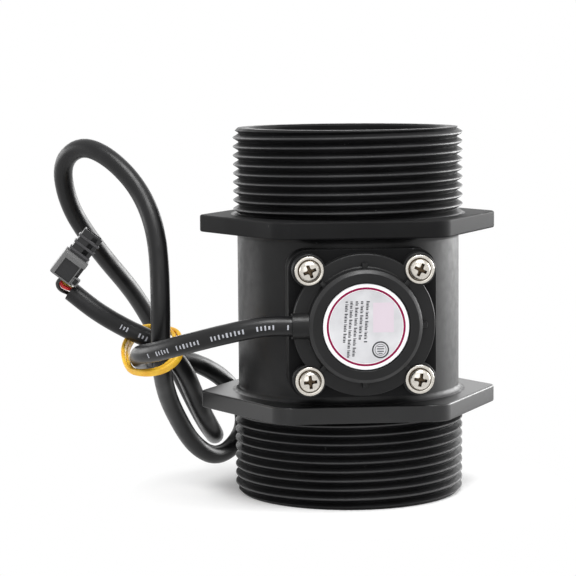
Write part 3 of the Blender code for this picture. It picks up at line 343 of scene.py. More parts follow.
def build_floor():
    signs = ((-1, -1), (1, -1), (1, 1), (-1, 1))
    corners = [(sx * FLOOR_REACH, sy * FLOOR_REACH, 0) for sx, sy in signs]
    floor = new_object("floor", mesh_from("floor", corners, [(0, 1, 2, 3)]))
    floor.data.materials.append(floor_material())


def floor_material():
    """A matt white floor. Where it is seen it glows white, and near the object it keeps the shadow."""
    shade = (FLOOR_SHADE, FLOOR_SHADE, FLOOR_SHADE)
    shader = Shader("floor", shade, FLOOR_ROUGHNESS)
    tree = shader.tree
    matt = add_node(tree, "ShaderNodeBsdfDiffuse", values={"Color": (*shade, 1)})
    glow = add_node(tree, "ShaderNodeEmission", values={"Strength": FLOOR_GLOW})
    near = add_node(tree, "ShaderNodeAddShader", {0: matt.outputs[0], 1: glow.outputs[0]})
    white = add_node(tree, "ShaderNodeEmission")
    distance = add_node(tree, "ShaderNodeVectorMath", {0: shader.position}, operation="LENGTH")
    away = shader.spread(distance.outputs["Value"], 0, 1, *FLOOR_FADE)
    shown = mixed_shader(tree, away, near.outputs[0], white.outputs[0])
    lit = tree.nodes["Principled BSDF"].outputs[0]
    tree.links.new(mixed_shader(tree, seen_directly(tree), lit, shown),
                   tree.nodes["Material Output"].inputs["Surface"])
    return shader.material


# Materials

class Shader:
    """A Principled material, with helpers for the few node chains used here."""

    def __init__(self, name, color, roughness, metallic=0.0, gloss=0.5):
        self.material = bpy.data.materials.new(name)
        self.material.use_nodes = True
        self.tree = self.material.node_tree
        self.inputs = self.tree.nodes["Principled BSDF"].inputs
        self.inputs["Base Color"].default_value = (*color, 1)
        self.inputs["Roughness"].default_value = roughness
        self.inputs["Metallic"].default_value = metallic
        self.inputs["Specular IOR Level"].default_value = gloss
        self.position = self.node("ShaderNodeTexCoord").outputs["Object"]

    def node(self, kind, links=(), values=(), **settings):
        return add_node(self.tree, kind, links, values, **settings)

    def feed(self, name, source):
        self.tree.links.new(source, self.inputs[name])

    def noise(self, scale, detail=2.0):
        node = self.node("ShaderNodeTexNoise", {"Vector": self.position}, {"Scale": scale, "Detail": detail})
        return node.outputs["Fac"]

    def spread(self, source, low, high, start=0.3, end=0.7):
        """The source's range from start to end, carried to the range from low to high."""
        values = {"From Min": start, "From Max": end, "To Min": low, "To Max": high}
        return self.node("ShaderNodeMapRange", {"Value": source}, values).outputs["Result"]

    def ramp(self, source, stops, interpolation="LINEAR"):
        """A colour that follows the source, by pairs of a position and a colour."""
        node = self.node("ShaderNodeValToRGB", {"Fac": source})
        node.color_ramp.interpolation = interpolation
        elements = node.color_ramp.elements
        while len(elements) < len(stops):
            elements.new(1)
        for element, (position, color) in zip(elements, stops):
            element.position = position
            element.color = (*color, 1)
        return node.outputs["Color"]

    def tint(self, source, colors, stops=(0.3, 0.7)):
        self.feed("Base Color", self.ramp(source, list(zip(stops, colors))))

    def rough(self, source, low, high):
        self.feed("Roughness", self.spread(source, low, high))

    def join(self, first, second, operation):
        return self.node("ShaderNodeMath", {0: first, 1: second}, operation=operation).outputs[0]

    def blend(self, first, second, share):
        return self.node("ShaderNodeMix", {0: share, 2: first, 3: second}).outputs[0]

    def radius(self):
        """Distance from the object's own upright axis."""
        flat = self.node("ShaderNodeVectorMath", {0: self.position}, {1: (1, 1, 0)}, operation="MULTIPLY")
        return self.node("ShaderNodeVectorMath", {0: flat.outputs[0]}, operation="LENGTH").outputs["Value"]

    def ring(self, low, high):
        """1 between two distances from the object's own upright axis."""
        radius = self.radius()
        return self.join(self.spread(radius, 0, 1, low - RING_EDGE, low + RING_EDGE),
                         self.spread(radius, 1, 0, high - RING_EDGE, high + RING_EDGE), "MULTIPLY")

    def by_height(self, values):
        """A value that steps at heights: pairs of the height where it starts and the value."""
        height = self.node("ShaderNodeSeparateXYZ", {0: self.position}).outputs["Z"]
        stops = [(start / BODY_LENGTH, (value, value, value)) for start, value in values]
        return self.ramp(self.spread(height, 0, 1, 0, BODY_LENGTH), stops, "CONSTANT")

    def bump(self, source, distance, strength):
        """Relief from the source, on top of any relief that the material already has."""
        links = {"Height": source}
        if self.inputs["Normal"].is_linked:
            links["Normal"] = self.inputs["Normal"].links[0].from_socket
        node = self.node("ShaderNodeBump", links, {"Distance": distance, "Strength": strength})
        self.feed("Normal", node.outputs["Normal"])


def nylon_shader(name, highlight_ring, highlight_tint):
    """Moulded black nylon with flow patches and scuffs, and lighter in a ring: a painted highlight."""
    shader = Shader(name, (0.008, 0.008, 0.0085), 0.42, gloss=0.25)
    patches = shader.noise(70, 3)
    scuffs = shader.spread(shader.noise(420, 4), 0, 1, 0.72, 0.76)
    # light: the ring of painted highlight, together with the real scuffs
    light = shader.join(shader.ring(*highlight_ring), scuffs, "MAXIMUM")
    shader.tint(shader.join(patches, light, "ADD"),
                ((0.006, 0.006, 0.0063), (0.01, 0.01, 0.0105), highlight_tint), (0.3, 0.7, 1))
    shader.bump(shader.noise(2600, 2), GRAIN, 0.35)
    shader.bump(patches, DENTS, 0.15)
    return shader, light


def cap_nylon_material():
    """The cap's nylon, with a painted highlight and a higher gloss on its shoulder."""
    # The shoulder ring gets a painted highlight
    shoulder = (CAP_TOP_RADIUS - 0.4 * MM, CAP_STEP_RADIUS - 0.2 * MM)
    shader, light = nylon_shader("cap_nylon", shoulder, (0.012, 0.012, 0.0125))
    shader.feed("Specular IOR Level", shader.spread(light, 0.25, 0.38, 0, 1))
    shader.rough(shader.noise(400, 3), 0.34, 0.48)
    return shader.material


def body_nylon_material():
    """The body's nylon: dull flanges and pad, a smoother barrel and flange top, and a painted highlight on
    the thread crests.
    """
    # The thread crests get a painted highlight
    crests = (THREAD_RADIUS - 0.2 * MM, THREAD_RADIUS + 0.1 * MM)
    shader, light = nylon_shader("body_nylon", crests, (0.02, 0.02, 0.021))
    low, high = FLANGE_LEVELS
    margin = 0.15 * MM
    pad_start = low + FLANGE_THICKNESS + margin
    flange_top = high + FLANGE_THICKNESS - margin
    beyond = shader.spread(shader.radius(), 0, 1, BARREL_RADIUS + 1.5 * MM, BARREL_RADIUS + 1.8 * MM)
    inner_gloss = shader.by_height(((0, 0.1), (low, 0.25), (flange_top + margin, 0.1)))
    outer_gloss = shader.by_height(((0, 0.42), (pad_start, 0.08), (high - margin, 0.12), (flange_top, 0.5)))
    gloss = shader.blend(inner_gloss, outer_gloss, beyond)
    crest_gloss = shader.spread(light, 0, 0.5, 0, 1)
    shader.feed("Specular IOR Level", shader.join(gloss, crest_gloss, "MAXIMUM"))
    inner_rough = shader.spread(shader.noise(400, 3), 0.36, 0.5)
    outer_rough = shader.by_height(((0, 0.4), (pad_start, 0.55), (high - margin, 0.6), (flange_top, 0.3)))
    shader.feed("Roughness", shader.blend(inner_rough, outer_rough, beyond))
    return shader.material


def jacket_material():
    """Soft black PVC: a smooth skin with a faint grain."""
    shader = Shader("cable_jacket", (0.007, 0.007, 0.0075), 0.34, gloss=0.3)
    shader.rough(shader.noise(300), 0.28, 0.42)
    shader.bump(shader.noise(1800), GRAIN, 0.3)
    return shader.material


def metal_material(name, dark, light, low=0.2, high=0.36):
    """Turned metal with fine grain, from a darker to a lighter tone."""
    shader = Shader(name, light, 0.3, metallic=1.0)
    grain = shader.noise(2200, 3)
    shader.tint(grain, (dark, light))
    shader.rough(grain, low, high)
    shader.bump(grain, GRAIN, 0.25)
    return shader.material


def rubber_band_material():
    shader = Shader("elastic_band", (0.83, 0.47, 0.02), 0.5)
    shader.tint(shader.noise(500), ((0.75, 0.38, 0.01), (0.88, 0.55, 0.04)))
    shader.bump(shader.noise(2500), GRAIN, 0.4)
    return shader.material


def plain_material(name, color, roughness, gloss=0.5):
    shader = Shader(name, color, roughness, gloss=gloss)
    shader.rough(shader.noise(375), roughness - 0.06, roughness + 0.06)
    shader.bump(shader.noise(1500), GRAIN, 0.3)
    return shader.material


def film_material():
    """The label's printed film: silvery and slightly mottled."""
    shader = Shader("label_film", (0.8, 0.8, 0.82), 0.35)
    shader.tint(shader.noise(160, 3), ((0.5, 0.5, 0.52), (0.66, 0.66, 0.68)))
    shader.bump(shader.noise(90), DENTS, 0.12)
    return shader.material


# Mesh helpers

def mesh_from(name, verts, faces, edges=()):
    mesh = bpy.data.meshes.new(name)
    mesh.from_pydata(verts, edges, faces)
    return mesh


def new_object(name, mesh, place=Matrix.Identity(4)):
    obj = link(bpy.data.objects.new(name, mesh))
    obj.matrix_world = place
    return obj


@contextmanager
def editing(mesh):
    """Opens a mesh for bmesh operations and writes it back."""
    work = bmesh.new()
    work.from_mesh(mesh)
    yield work
    work.to_mesh(mesh)
    work.free()


def baked(obj):
    """The object with its modifiers applied, welded and with its faces turned out."""
    bpy.context.view_layer.update()
    depsgraph = bpy.context.evaluated_depsgraph_get()
    mesh = bpy.data.meshes.new_from_object(obj.evaluated_get(depsgraph))
    with editing(mesh) as work:
        bmesh.ops.remove_doubles(work, verts=work.verts, dist=WELD)
        bmesh.ops.recalc_face_normals(work, faces=work.faces)
    result = new_object(obj.name, mesh, obj.matrix_world.copy())
    bpy.data.objects.remove(obj, do_unlink=True)
    return result


def combine(target, operation, *others):
    for other in others:
        modifier = target.modifiers.new(operation.lower(), "BOOLEAN")
        modifier.operation = operation
        modifier.solver = "EXACT"
        modifier.object = other
    result = baked(target)
    for other in others:
        bpy.data.objects.remove(other, do_unlink=True)
    return result


def bevelled(obj, width, segments=2, angle=BEVEL_ANGLE):
    modifier = obj.modifiers.new("bevel", "BEVEL")
    modifier.width = width
    modifier.segments = segments
    modifier.limit_method = "ANGLE"
    modifier.angle_limit = math.radians(angle)
    return baked(obj)


def turned(name, profile, steps, place, closed=False, pitch=0.0):
    """A profile of radii and heights, turned once round the upright axis and rising by the pitch."""
    edges = [(i, i + 1) for i in range(len(profile) - 1)]
    if closed:
        edges.append((len(profile) - 1, 0))
    obj = new_object(name, mesh_from(name, [(r, 0, z) for r, z in profile], [], edges), place)
    screw = obj.modifiers.new("turn", "SCREW")
    screw.steps = screw.render_steps = steps
    screw.screw_offset = pitch
    screw.use_merge_vertices = not pitch
    screw.merge_threshold = WELD
    return baked(obj)


def cylinder(name, radius, low, high, steps, place):
    return turned(name, [(0, high), (radius, high), (radius, low), (0, low)], steps, place)


def box(name, low, high, place):
    mesh = bpy.data.meshes.new(name)
    with editing(mesh) as work:
        bmesh.ops.create_cube(work, size=1)
        bmesh.ops.scale(work, vec=[b - a for a, b in zip(low, high)], verts=work.verts)
        bmesh.ops.translate(work, vec=[(a + b) / 2 for a, b in zip(low, high)], verts=work.verts)
    return new_object(name, mesh, place)


def prism(name, outline, low, high, place):
    mesh = bpy.data.meshes.new(name)
    with editing(mesh) as work:
        face = work.faces.new([work.verts.new((x, y, low)) for x, y in outline])
        raised = bmesh.ops.extrude_face_region(work, geom=[face])
        verts = [v for v in raised["geom"] if isinstance(v, bmesh.types.BMVert)]
        bmesh.ops.translate(work, vec=(0, 0, high - low), verts=verts)
        bmesh.ops.recalc_face_normals(work, faces=work.faces)
    return new_object(name, mesh, place)


def arc(centre, radius, start, end, steps):
    angles = [math.radians(start + (end - start) * i / steps) for i in range(steps + 1)]
    return [(centre[0] + radius * math.cos(a), centre[1] + radius * math.sin(a)) for a in angles]


def finish_piece(obj, name, material, sharp_angle=SHARP_ANGLE):
    """Names a piece, shades it and lets it ride on the housing."""
    obj.name = obj.data.name = name
    obj.data.materials.clear()
    obj.data.materials.append(material)
    obj.data.shade_smooth()
    obj.data.set_sharp_from_angle(angle=math.radians(sharp_angle))
    flat = obj.modifiers.new("flat_faces", "WEIGHTED_NORMAL")
    flat.keep_sharp = True
    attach(obj, "housing")


def paint(obj, material, chosen):
    """Gives a second material to the faces that chosen(centre, normal) picks, in the object's own axes."""
    obj.data.materials.append(material)
    slot = len(obj.data.materials) - 1
    for face in obj.data.polygons:
        if chosen(face.center, face.normal):
            face.material_index = slot


# Housing

def thread_profile():
    """One pitch of the thread, from root to root, with a rounded root and crest."""
    root, half = THREAD_RADIUS - THREAD_DEPTH, THREAD_PITCH / 2
    foot, shoulder = root + ROOT_ROUND[0], THREAD_RADIUS - CREST_ROUND[0]
    return [(root, 0), (foot, ROOT_ROUND[1]), (shoulder, half - CREST_ROUND[1]),
            (THREAD_RADIUS, half - CREST_HALF), (THREAD_RADIUS, half + CREST_HALF),
            (shoulder, half + CREST_ROUND[1]), (foot, THREAD_PITCH - ROOT_ROUND[1])]


def thread_plug(name, low, high, chamfer_top):
    """A solid plug with the thread round it, trimmed to its levels and chamfered at its free end."""
    turns = math.ceil((high - low) / THREAD_PITCH) + 3
    start = low - 2 * THREAD_PITCH
    profile = [(r, start + turn * THREAD_PITCH + z) for turn in range(turns) for r, z in thread_profile()]
    profile.append((profile[0][0], start + turns * THREAD_PITCH))
    obj = turned(name, profile, FINE, PIPE_AXIS, pitch=THREAD_PITCH)
    close_ends(obj)
    chamfer, clear = THREAD_RADIUS - RIM_CHAMFER, THREAD_RADIUS + CUT
    slope = clear - chamfer
    if chamfer_top:
        outline = [(0, high), (chamfer, high), (clear, high - slope), (clear, low), (0, low)]
    else:
        outline = [(0, high), (clear, high), (clear, low + slope), (chamfer, low), (0, low)]
    return combine(obj, "INTERSECT", turned(name + "_trim", outline, FINE, PIPE_AXIS))


def close_ends(obj):
    with editing(obj.data) as work:
        middle = sum(v.co.z for v in work.verts) / len(work.verts)
        open_edges = [e for e in work.edges if e.is_boundary]
        for above in (True, False):
            rim = [e for e in open_edges if (e.verts[0].co.z > middle) == above]
            centre = work.verts.new((0, 0, sum(e.verts[0].co.z for e in rim) / len(rim)))
            for edge in rim:
                work.faces.new((edge.verts[0], edge.verts[1], centre))
        bmesh.ops.recalc_face_normals(work, faces=work.faces)


def flange(level):
    """A six-cornered wrench flange with two side corners and four front and rear ones."""
    flat = FLANGE_CORNER - FLANGE_HALF_FLAT / math.tan(math.radians(60))
    outline = [(FLANGE_CORNER, 0), (flat, FLANGE_HALF_FLAT), (-flat, FLANGE_HALF_FLAT)]
    outline += [(-x, -y) for x, y in outline]
    obj = prism("flange", outline, level, level + FLANGE_THICKNESS, PIPE_AXIS)
    with editing(obj.data) as work:
        for reach, offset in ((FLANGE_CORNER, FLANGE_CORNER_ROUND), (flat, FLANGE_FRONT_ROUND)):
            corners = [e for e in work.edges if abs(e.verts[0].co.z - e.verts[1].co.z) > FLANGE_THICKNESS / 2
                       and abs(abs(e.verts[0].co.x) - reach) < NEAR]
            bmesh.ops.bevel(work, geom=corners, offset=offset, segments=FILLET_STEPS, profile=0.5,
                            affect="EDGES")
    return bevelled(obj, FLANGE_EDGE_ROUND, 3, WIDE_ANGLE)


def barrel():
    low, high = FLANGE_LEVELS[0] + FLANGE_THICKNESS, FLANGE_LEVELS[1]
    outer = BARREL_RADIUS + BARREL_FILLET
    profile = [(0, high + CUT), (outer, high + CUT)]
    profile += arc((outer, high - BARREL_FILLET), BARREL_FILLET, 90, 180, FILLET_STEPS)
    profile += arc((outer, low + BARREL_FILLET), BARREL_FILLET, 180, 270, FILLET_STEPS)
    profile += [(outer, low - CUT), (0, low - CUT)]
    return turned("barrel", profile, FINE, PIPE_AXIS)


def pad():
    half = PAD_WIDTH / 2 - PAD_CORNER
    outline = []
    for index, (sx, sy) in enumerate(((1, 1), (-1, 1), (-1, -1), (1, -1))):
        outline += arc((sx * half, sy * half), PAD_CORNER, 90 * index, 90 * index + 90, CORNER_STEPS)
    return bevelled(prism("pad", outline, PAD_ROOT, PAD_FACE, CAP_AXIS), SMALL_EDGE, angle=WIDE_ANGLE)


def bore_cutter():
    """The stepped bore, the same from both mouths."""
    low, high, groove = RING_GROOVE
    top = [(0, CUT), (MOUTH_RADIUS + MOUTH_CHAMFER + CUT, CUT), (MOUTH_RADIUS, -MOUTH_CHAMFER),
           (MOUTH_RADIUS, -low), (groove, -low), (groove, -high), (MOUTH_RADIUS, -high),
           (MOUTH_RADIUS, -SHOULDER_DEPTH), (CHAMBER_RADIUS, -SHOULDER_DEPTH)]
    profile = [(r, BODY_LENGTH + z) for r, z in top] + [(r, -z) for r, z in reversed(top)]
    return turned("bore_cutter", profile, FINE, PIPE_AXIS)


def build_housing(material):
    reach = THREAD_LENGTH + CUT
    body = combine(barrel(), "UNION", *[flange(level) for level in FLANGE_LEVELS])
    body = combine(body, "UNION", pad())
    body = combine(body, "UNION", thread_plug("lower_thread", 0, reach, False))
    body = combine(body, "UNION", thread_plug("upper_thread", BODY_LENGTH - reach, BODY_LENGTH, True))
    body = combine(body, "DIFFERENCE", bore_cutter())
    finish_piece(body, "pipe_body", material)
    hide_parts("housing")


# Cap and screws

def screw_places():
    half = SCREW_SPACING / 2
    return [(sx * half, sy * half, 0) for sx, sy in ((-1, 1), (1, 1), (-1, -1), (1, -1))]


def cap_rib(name, angle, width, reach):
    low = (CAP_TOP_RADIUS - CUT, -width / 2, CAP_FLANGE_TOP - CUT)
    high = (CAP_STEP_RADIUS + reach, width / 2, CAP_FLANGE_TOP + RIB_HEIGHT)
    return bevelled(box(name, low, high, CAP_AXIS @ Matrix.Rotation(math.radians(angle), 4, "Z")), SMALL_EDGE)


def flange_rim(radius):
    """The rounded outer edge of the cap's flange or of a lug, down to the seat's middle."""
    return [*arc((radius - CAP_EDGE, CAP_FLANGE_TOP - CAP_EDGE), CAP_EDGE, 90, 0, ARC_STEPS),
            (radius, CAP_SEAT), (0, CAP_SEAT)]


def build_cap(material):
    recess = LABEL_RADIUS + SEAT_GAP
    floor = LABEL_FACE - 2 * SEAT_GAP
    profile = [(0, floor), (recess, floor)]
    profile += arc((recess + SMALL_EDGE, CAP_TOP - SMALL_EDGE), SMALL_EDGE, 180, 90, EDGE_STEPS)
    profile += [(radius * MM, CAP_TOP - depth * MM) for radius, depth in CAP_SHOULDER]
    profile += [(CAP_STEP_RADIUS, CAP_FLANGE_TOP + SEAT_GAP), (CAP_STEP_RADIUS + SEAT_GAP, CAP_FLANGE_TOP)]
    cap = turned("cap", profile + flange_rim(CAP_RADIUS), FINE, CAP_AXIS)
    lug = [(0, CAP_FLANGE_TOP), *flange_rim(LUG_RADIUS)]
    lugs = [turned("lug", lug, MEDIUM, CAP_AXIS @ Matrix.Translation(place)) for place in screw_places()]
    cap = combine(cap, "UNION", *lugs)
    reach = SCREW_SPACING / math.sqrt(2) - HEAD_RADIUS - SEAT_GAP - CAP_STEP_RADIUS
    ribs = [cap_rib("rib", 45 + 90 * i, RIB_WIDTH, reach) for i in range(4)]
    ribs += [cap_rib("tab", angle, TAB_WIDTH, TAB_REACH) for angle in TAB_ANGLES]
    tunnel = CAP_AXIS @ Matrix.Translation((0, 0, CABLE_AXIS)) @ Matrix.Rotation(math.radians(-90), 4, "Y")
    bore = CABLE_RADIUS + SEAT_GAP
    boss = cylinder("boss", bore + TUNNEL_WALL, CAP_TOP_RADIUS - CUT, CAP_RADIUS + SEAT_GAP, MEDIUM, tunnel)
    cap = combine(cap, "UNION", *ribs, boss)
    hole = cylinder("hole", bore, CAP_TOP_RADIUS - TUNNEL_DEPTH, CAP_RADIUS + CUT, MEDIUM, tunnel)
    cap = combine(cap, "DIFFERENCE", hole)
    finish_piece(cap, "cap", material)
    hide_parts("sensor_cap")


def dome_level(radius):
    """Level of the screw's dome at a distance from the screw's axis."""
    share = min(radius / DOME_RADIUS, 1)
    return SCREW_RIM + DOME_HEIGHT * math.sqrt(1 - share ** 2) ** DOME_FULLNESS


def screw_profile():
    """A domed head with a groove round it, a rounded washer and the top of the shank."""
    seat = CAP_FLANGE_TOP + SEAT_GAP
    radii = [DOME_RADIUS * math.sin(math.radians(angle)) for angle in range(0, 91, DOME_STEP)]
    profile = [(radius, dome_level(radius)) for radius in radii]
    profile += [(radius * MM, SCREW_RIM - depth * MM) for radius, depth in HEAD_GROOVE]
    profile += arc((HEAD_RADIUS - HEAD_EDGE, SCREW_RIM - HEAD_EDGE), HEAD_EDGE, 90, 0, ARC_STEPS)
    return profile + [(HEAD_RADIUS, seat), (SHANK_RADIUS, seat), (SHANK_RADIUS, CAP_SEAT), (0, CAP_SEAT)]


def cross_cutters(place):
    """Two tapered bars and a cone, for the screw's cross recess."""
    top = SCREW_RIM + DOME_HEIGHT
    long, wide = CROSS_HALF
    cutters = []
    for angle in (0, 90):
        bar = box("cross", (-long, -wide, top - CROSS_DEPTH), (long, wide, top + CUT),
                  place @ Matrix.Rotation(math.radians(angle), 4, "Z"))
        for vertex in bar.data.vertices:
            if vertex.co.z < top:
                vertex.co.x *= CROSS_TAPER[0]
                vertex.co.y *= CROSS_TAPER[1]
        cutters.append(bar)
    shallow, deep = CONE_LEVELS
    cone = [(0, top + CUT), (CONE_RADIUS, top + CUT), (CONE_RADIUS, top - shallow), (0, top - deep)]
    return cutters + [turned("cone", cone, SMALL, place)]


def build_screws(material, dark):
    """Washer-headed screws with a cross recess, each at its own turn, and painted shade in the recess and in
    the groove round the dome.
    """
    for index, (offset, angle) in enumerate(zip(screw_places(), SCREW_TURNS), 1):
        place = CAP_AXIS @ Matrix.Translation(offset) @ Matrix.Rotation(math.radians(angle), 4, "Z")
        screw = turned("screw", screw_profile(), MEDIUM, place)
        screw = combine(screw, "DIFFERENCE", *cross_cutters(place))
        finish_piece(screw, f"screw_{index}", material)
        # painted shade: dark brown steel on the faces of the recess and of the groove
        paint(screw, dark, in_shadow)
        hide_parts(f"cap_screw_{index}")


def in_shadow(centre, _normal):
    """The faces of the cross recess and of the groove round the dome, which get the painted shade."""
    radius = math.hypot(centre.x, centre.y)
    recess = radius < CROSS_SHADOW and centre.z < dome_level(radius) - CROSS_LIP
    groove = GROOVE_SHADOW[0] < radius < GROOVE_SHADOW[1]
    return centre.z > SCREW_RIM - HEAD_EDGE and (recess or groove)


# Label

def flat_ring(name, radii, level, material, place=(0, 0, 0)):
    """A thin printed ring, raised a hair above its level. Its radii are in millimetres."""
    inner, outer = (radius * MM for radius in radii)
    top = level + HAIR
    ring = turned(name, [(outer, top), (outer, level), (inner, level), (inner, top)], FINE,
                  CAP_AXIS @ Matrix.Translation(place), closed=True)
    finish_piece(ring, name, material)


def build_label(film, white, crimson, grey, pink):
    """A round film with a crimson ring, rows of plain bars, a pale field and a round mark."""
    low = LABEL_FACE - SEAT_GAP
    label = turned("film", [(0, LABEL_FACE), (LABEL_RADIUS - LABEL_EDGE, LABEL_FACE),
                            (LABEL_RADIUS, LABEL_FACE - LABEL_EDGE), (LABEL_RADIUS, low), (0, low)],
                   FINE, CAP_AXIS)
    finish_piece(label, "label_film", film)
    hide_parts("label")
    flat_ring("label_margin", MARGIN_RING, LABEL_FACE, white)
    flat_ring("label_ring", CRIMSON_RING, LABEL_FACE + HAIR, crimson)
    corners = [(x * MM, y * MM) for x, y in FIELD]
    patch = prism("label_field", corners, LABEL_FACE, LABEL_FACE + HAIR, CAP_AXIS)
    finish_piece(patch, "label_field", pink)
    build_bars(grey)
    for name, radii in MARK_RINGS.items():
        flat_ring(name, radii, LABEL_FACE, grey, MARK_PLACE)


def build_bars(material):
    """Rows of short plain bars, where the real label has its lines of print and its mark."""
    bars = []
    for index, (x, bottom) in enumerate(BAR_ROWS):
        y, step = BAR_TOP, BAR_SHIFT * index
        while y > bottom:
            length, gap, reach = BAR_STEPS[step % len(BAR_STEPS)]
            left = x - BAR_INSET - (BAR_TOP - y) * BAR_LEAN
            bars.append((left, y - length, left + reach, y))
            y -= length + gap
            step += 1
    verts, faces = [], []
    for x0, y0, x1, y1 in (*bars, *MARK_BARS):
        faces.append([len(verts) + i for i in range(4)])
        corners = ((x0, y0), (x1, y0), (x1, y1), (x0, y1))
        verts += [(x * MM, y * MM, LABEL_FACE + BAR_LIFT) for x, y in corners]
    piece = new_object("label_bars", mesh_from("label_bars", verts, faces), CAP_AXIS)
    finish_piece(piece, "label_bars", material)


# Cable, band and connector

def curve_through(route):
    """Many points on a smooth curve through the route, without its first and last point."""
    dense = []
    for a, b, c, d in zip(route, route[1:], route[2:], route[3:]):
        for step in range(CURVE_STEPS):
            t = step / CURVE_STEPS
            dense.append(0.5 * (2 * b + (c - a) * t + (2 * a - 5 * b + 4 * c - d) * t ** 2
                                + (3 * b - a - 3 * c + d) * t ** 3))
    return dense + [route[-2]]


def running_lengths(points):
    lengths = [0.0]
    for a, b in zip(points, points[1:]):
        lengths.append(lengths[-1] + (b - a).length)
    return lengths


def even_points(line, count):
    lengths = running_lengths(line)
    result = []
    index = 0
    for step in range(count):
        wanted = lengths[-1] * step / (count - 1)
        while index < len(line) - 2 and lengths[index + 1] < wanted:
            index += 1
        share = (wanted - lengths[index]) / (lengths[index + 1] - lengths[index])
        result.append(line[index].lerp(line[index + 1], share))
    return result


def smooth_route(route, count):
    before, after = 2 * route[0] - route[1], 2 * route[-1] - route[-2]
    dense = curve_through([before, *route, after])
    for _ in range(EASING_PASSES):
        middle = [(p + 2 * q + r) / 4 for p, q, r in zip(dense, dense[1:], dense[2:])]
        dense = [dense[0], *middle, dense[-1]]
    return even_points(dense, count)


def closed_route(route, count):
    return even_points(curve_through([route[-1], *route, *route[:2]]), count + 1)[:-1]


def from_axis(point):
    return PIPE_AXIS @ (Vector(point) * MM)


def tube(name, points, radius, material, resolution=5):
    curve = bpy.data.curves.new(name, "CURVE")
    curve.dimensions = "3D"
    curve.bevel_depth = radius
    curve.bevel_resolution = resolution
    curve.use_fill_caps = True
    spline = curve.splines.new("POLY")
    spline.points.add(len(points) - 1)
    for point, place in zip(spline.points, points):
        point.co = (*place, 1)
    spline.use_smooth = True
    obj = new_object(name, curve)
    curve.materials.append(material)
    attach(obj, "housing")
    return obj


def build_cable(material):
    """The cable, from inside the cap to the end of its jacket, and its centreline."""
    route = [from_axis(point) for point in CABLE_ROUTE]
    line = [route[0] + Vector((CABLE_INSIDE, 0, 0)), *smooth_route(route, CABLE_POINTS)]
    cable = tube("signal_cable", line, CABLE_RADIUS, material, resolution=7)
    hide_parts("cable")
    return cable, line


def build_prints(line, material):
    """Short pale ticks on the jacket's front, in groups along both of its ends."""
    lengths = running_lengths(line)
    columns, rows = TICK_GRID
    verts, faces = [], []

    def add_tick(start, height):
        base = len(verts)
        for i in range(columns):
            distance = start + TICK_WIDTH * MM * i / (columns - 1)
            index = next(j for j, value in enumerate(lengths) if value > distance)
            share = (distance - lengths[index - 1]) / (lengths[index] - lengths[index - 1])
            along = (line[index] - line[index - 1]).normalized()
            front = (Vector((0, -1, 0)) + along * along.y).normalized()
            up = along.cross(front)
            for j in range(rows):
                angle = height * (j / (rows - 1) - 0.5)
                ray = front * math.cos(angle) + up * math.sin(angle)
                verts.append(line[index - 1].lerp(line[index], share) + ray * (CABLE_RADIUS + TICK_LIFT))
        for i in range(columns - 1):
            for corner in range(base + i * rows, base + (i + 1) * rows - 1):
                faces.append((corner, corner + 1, corner + rows + 1, corner + rows))

    for start, ticks in PRINT_GROUPS:
        for index in range(ticks):
            add_tick((start + index * PRINT_PITCH) * MM, TICK_REACH * TICK_SHARES[index % len(TICK_SHARES)])
    prints = new_object("cable_print", mesh_from("cable_print", verts, faces))
    finish_piece(prints, "cable_print", material)
    return prints


def build_band(material):
    """A flat band, wound twice round the bundle."""
    loop = closed_route([from_axis(point) for point in BAND_LOOP], BAND_POINTS)
    centre = sum(loop, Vector()) / BAND_POINTS
    normal = sum(((a - centre).cross(b - centre) for a, b in zip(loop, loop[1:])), Vector()).normalized()
    points = []
    for step in range(2 * BAND_POINTS):
        place, following = loop[step % BAND_POINTS], loop[(step + 1) % BAND_POINTS]
        outward = (following - place).normalized().cross(normal)
        turn = math.pi * step / BAND_POINTS
        lift = math.sin(turn)
        points.append(place + outward * (BAND_SLACK + BAND_SPREAD * (lift + lift ** 2))
                      + normal * BAND_SPREAD * math.cos(turn))
    band = new_object("elastic_band", flat_strip(points, normal))
    finish_piece(band, "elastic_band", material, WIDE_ANGLE)
    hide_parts("cable_band")
    return band


def flat_strip(points, normal):
    """A closed strip along the points, with a rounded flat section that lies across the normal."""
    section = []
    for side in range(BAND_SIDES):
        turn = 2 * math.pi * side / BAND_SIDES
        section.append([math.copysign(abs(value) ** BAND_FLATNESS, value)
                        for value in (math.cos(turn), math.sin(turn))])
    verts = []
    for before, place, after in zip(points[-1:] + points, points, points[1:] + points[:1]):
        along = (after - before).normalized()
        across = (normal - along * along.dot(normal)).normalized()
        outward = along.cross(across)
        verts += [place + across * wide * BAND_HALF_WIDTH + outward * thick * BAND_HALF_THICKNESS
                  for wide, thick in section]
    faces = []
    for near in range(0, len(verts), BAND_SIDES):
        far = (near + BAND_SIDES) % len(verts)
        for side in range(BAND_SIDES):
            following = (side + 1) % BAND_SIDES
            faces.append((near + side, near + following, far + following, far + side))
    return mesh_from("elastic_band", verts, faces)


def build_wires(line):
    """The three wires, from the jacket's end into the plug's cavities."""
    end = line[-1]
    along = (end - line[-2]).normalized()
    down = (Vector((0, 0, -1)) + along * along.z).normalized()
    side = along.cross(down)
    wires = []
    for color, (shade, angle, bends, slot) in WIRES.items():
        turn = math.radians(angle)
        offset = (down * math.cos(turn) + side * math.sin(turn)) * WIRE_SPREAD
        points = [end + along * SEAT_GAP + offset, end + along * 2 * SEAT_GAP + offset]
        in_cavity = [(0, slot * CONTACT_PITCH, depth) for depth in (0, WIRE_DEPTH)]
        points += [PLUG_AXIS @ (Vector(point) * MM) for point in bends + in_cavity]
        wire = tube(f"{color}_wire", smooth_route(points, WIRE_POINTS), WIRE_RADIUS,
                    plain_material(f"{color}_wire", shade, 0.4))
        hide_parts(f"wire_{color}")
        wires.append(wire)
    return wires


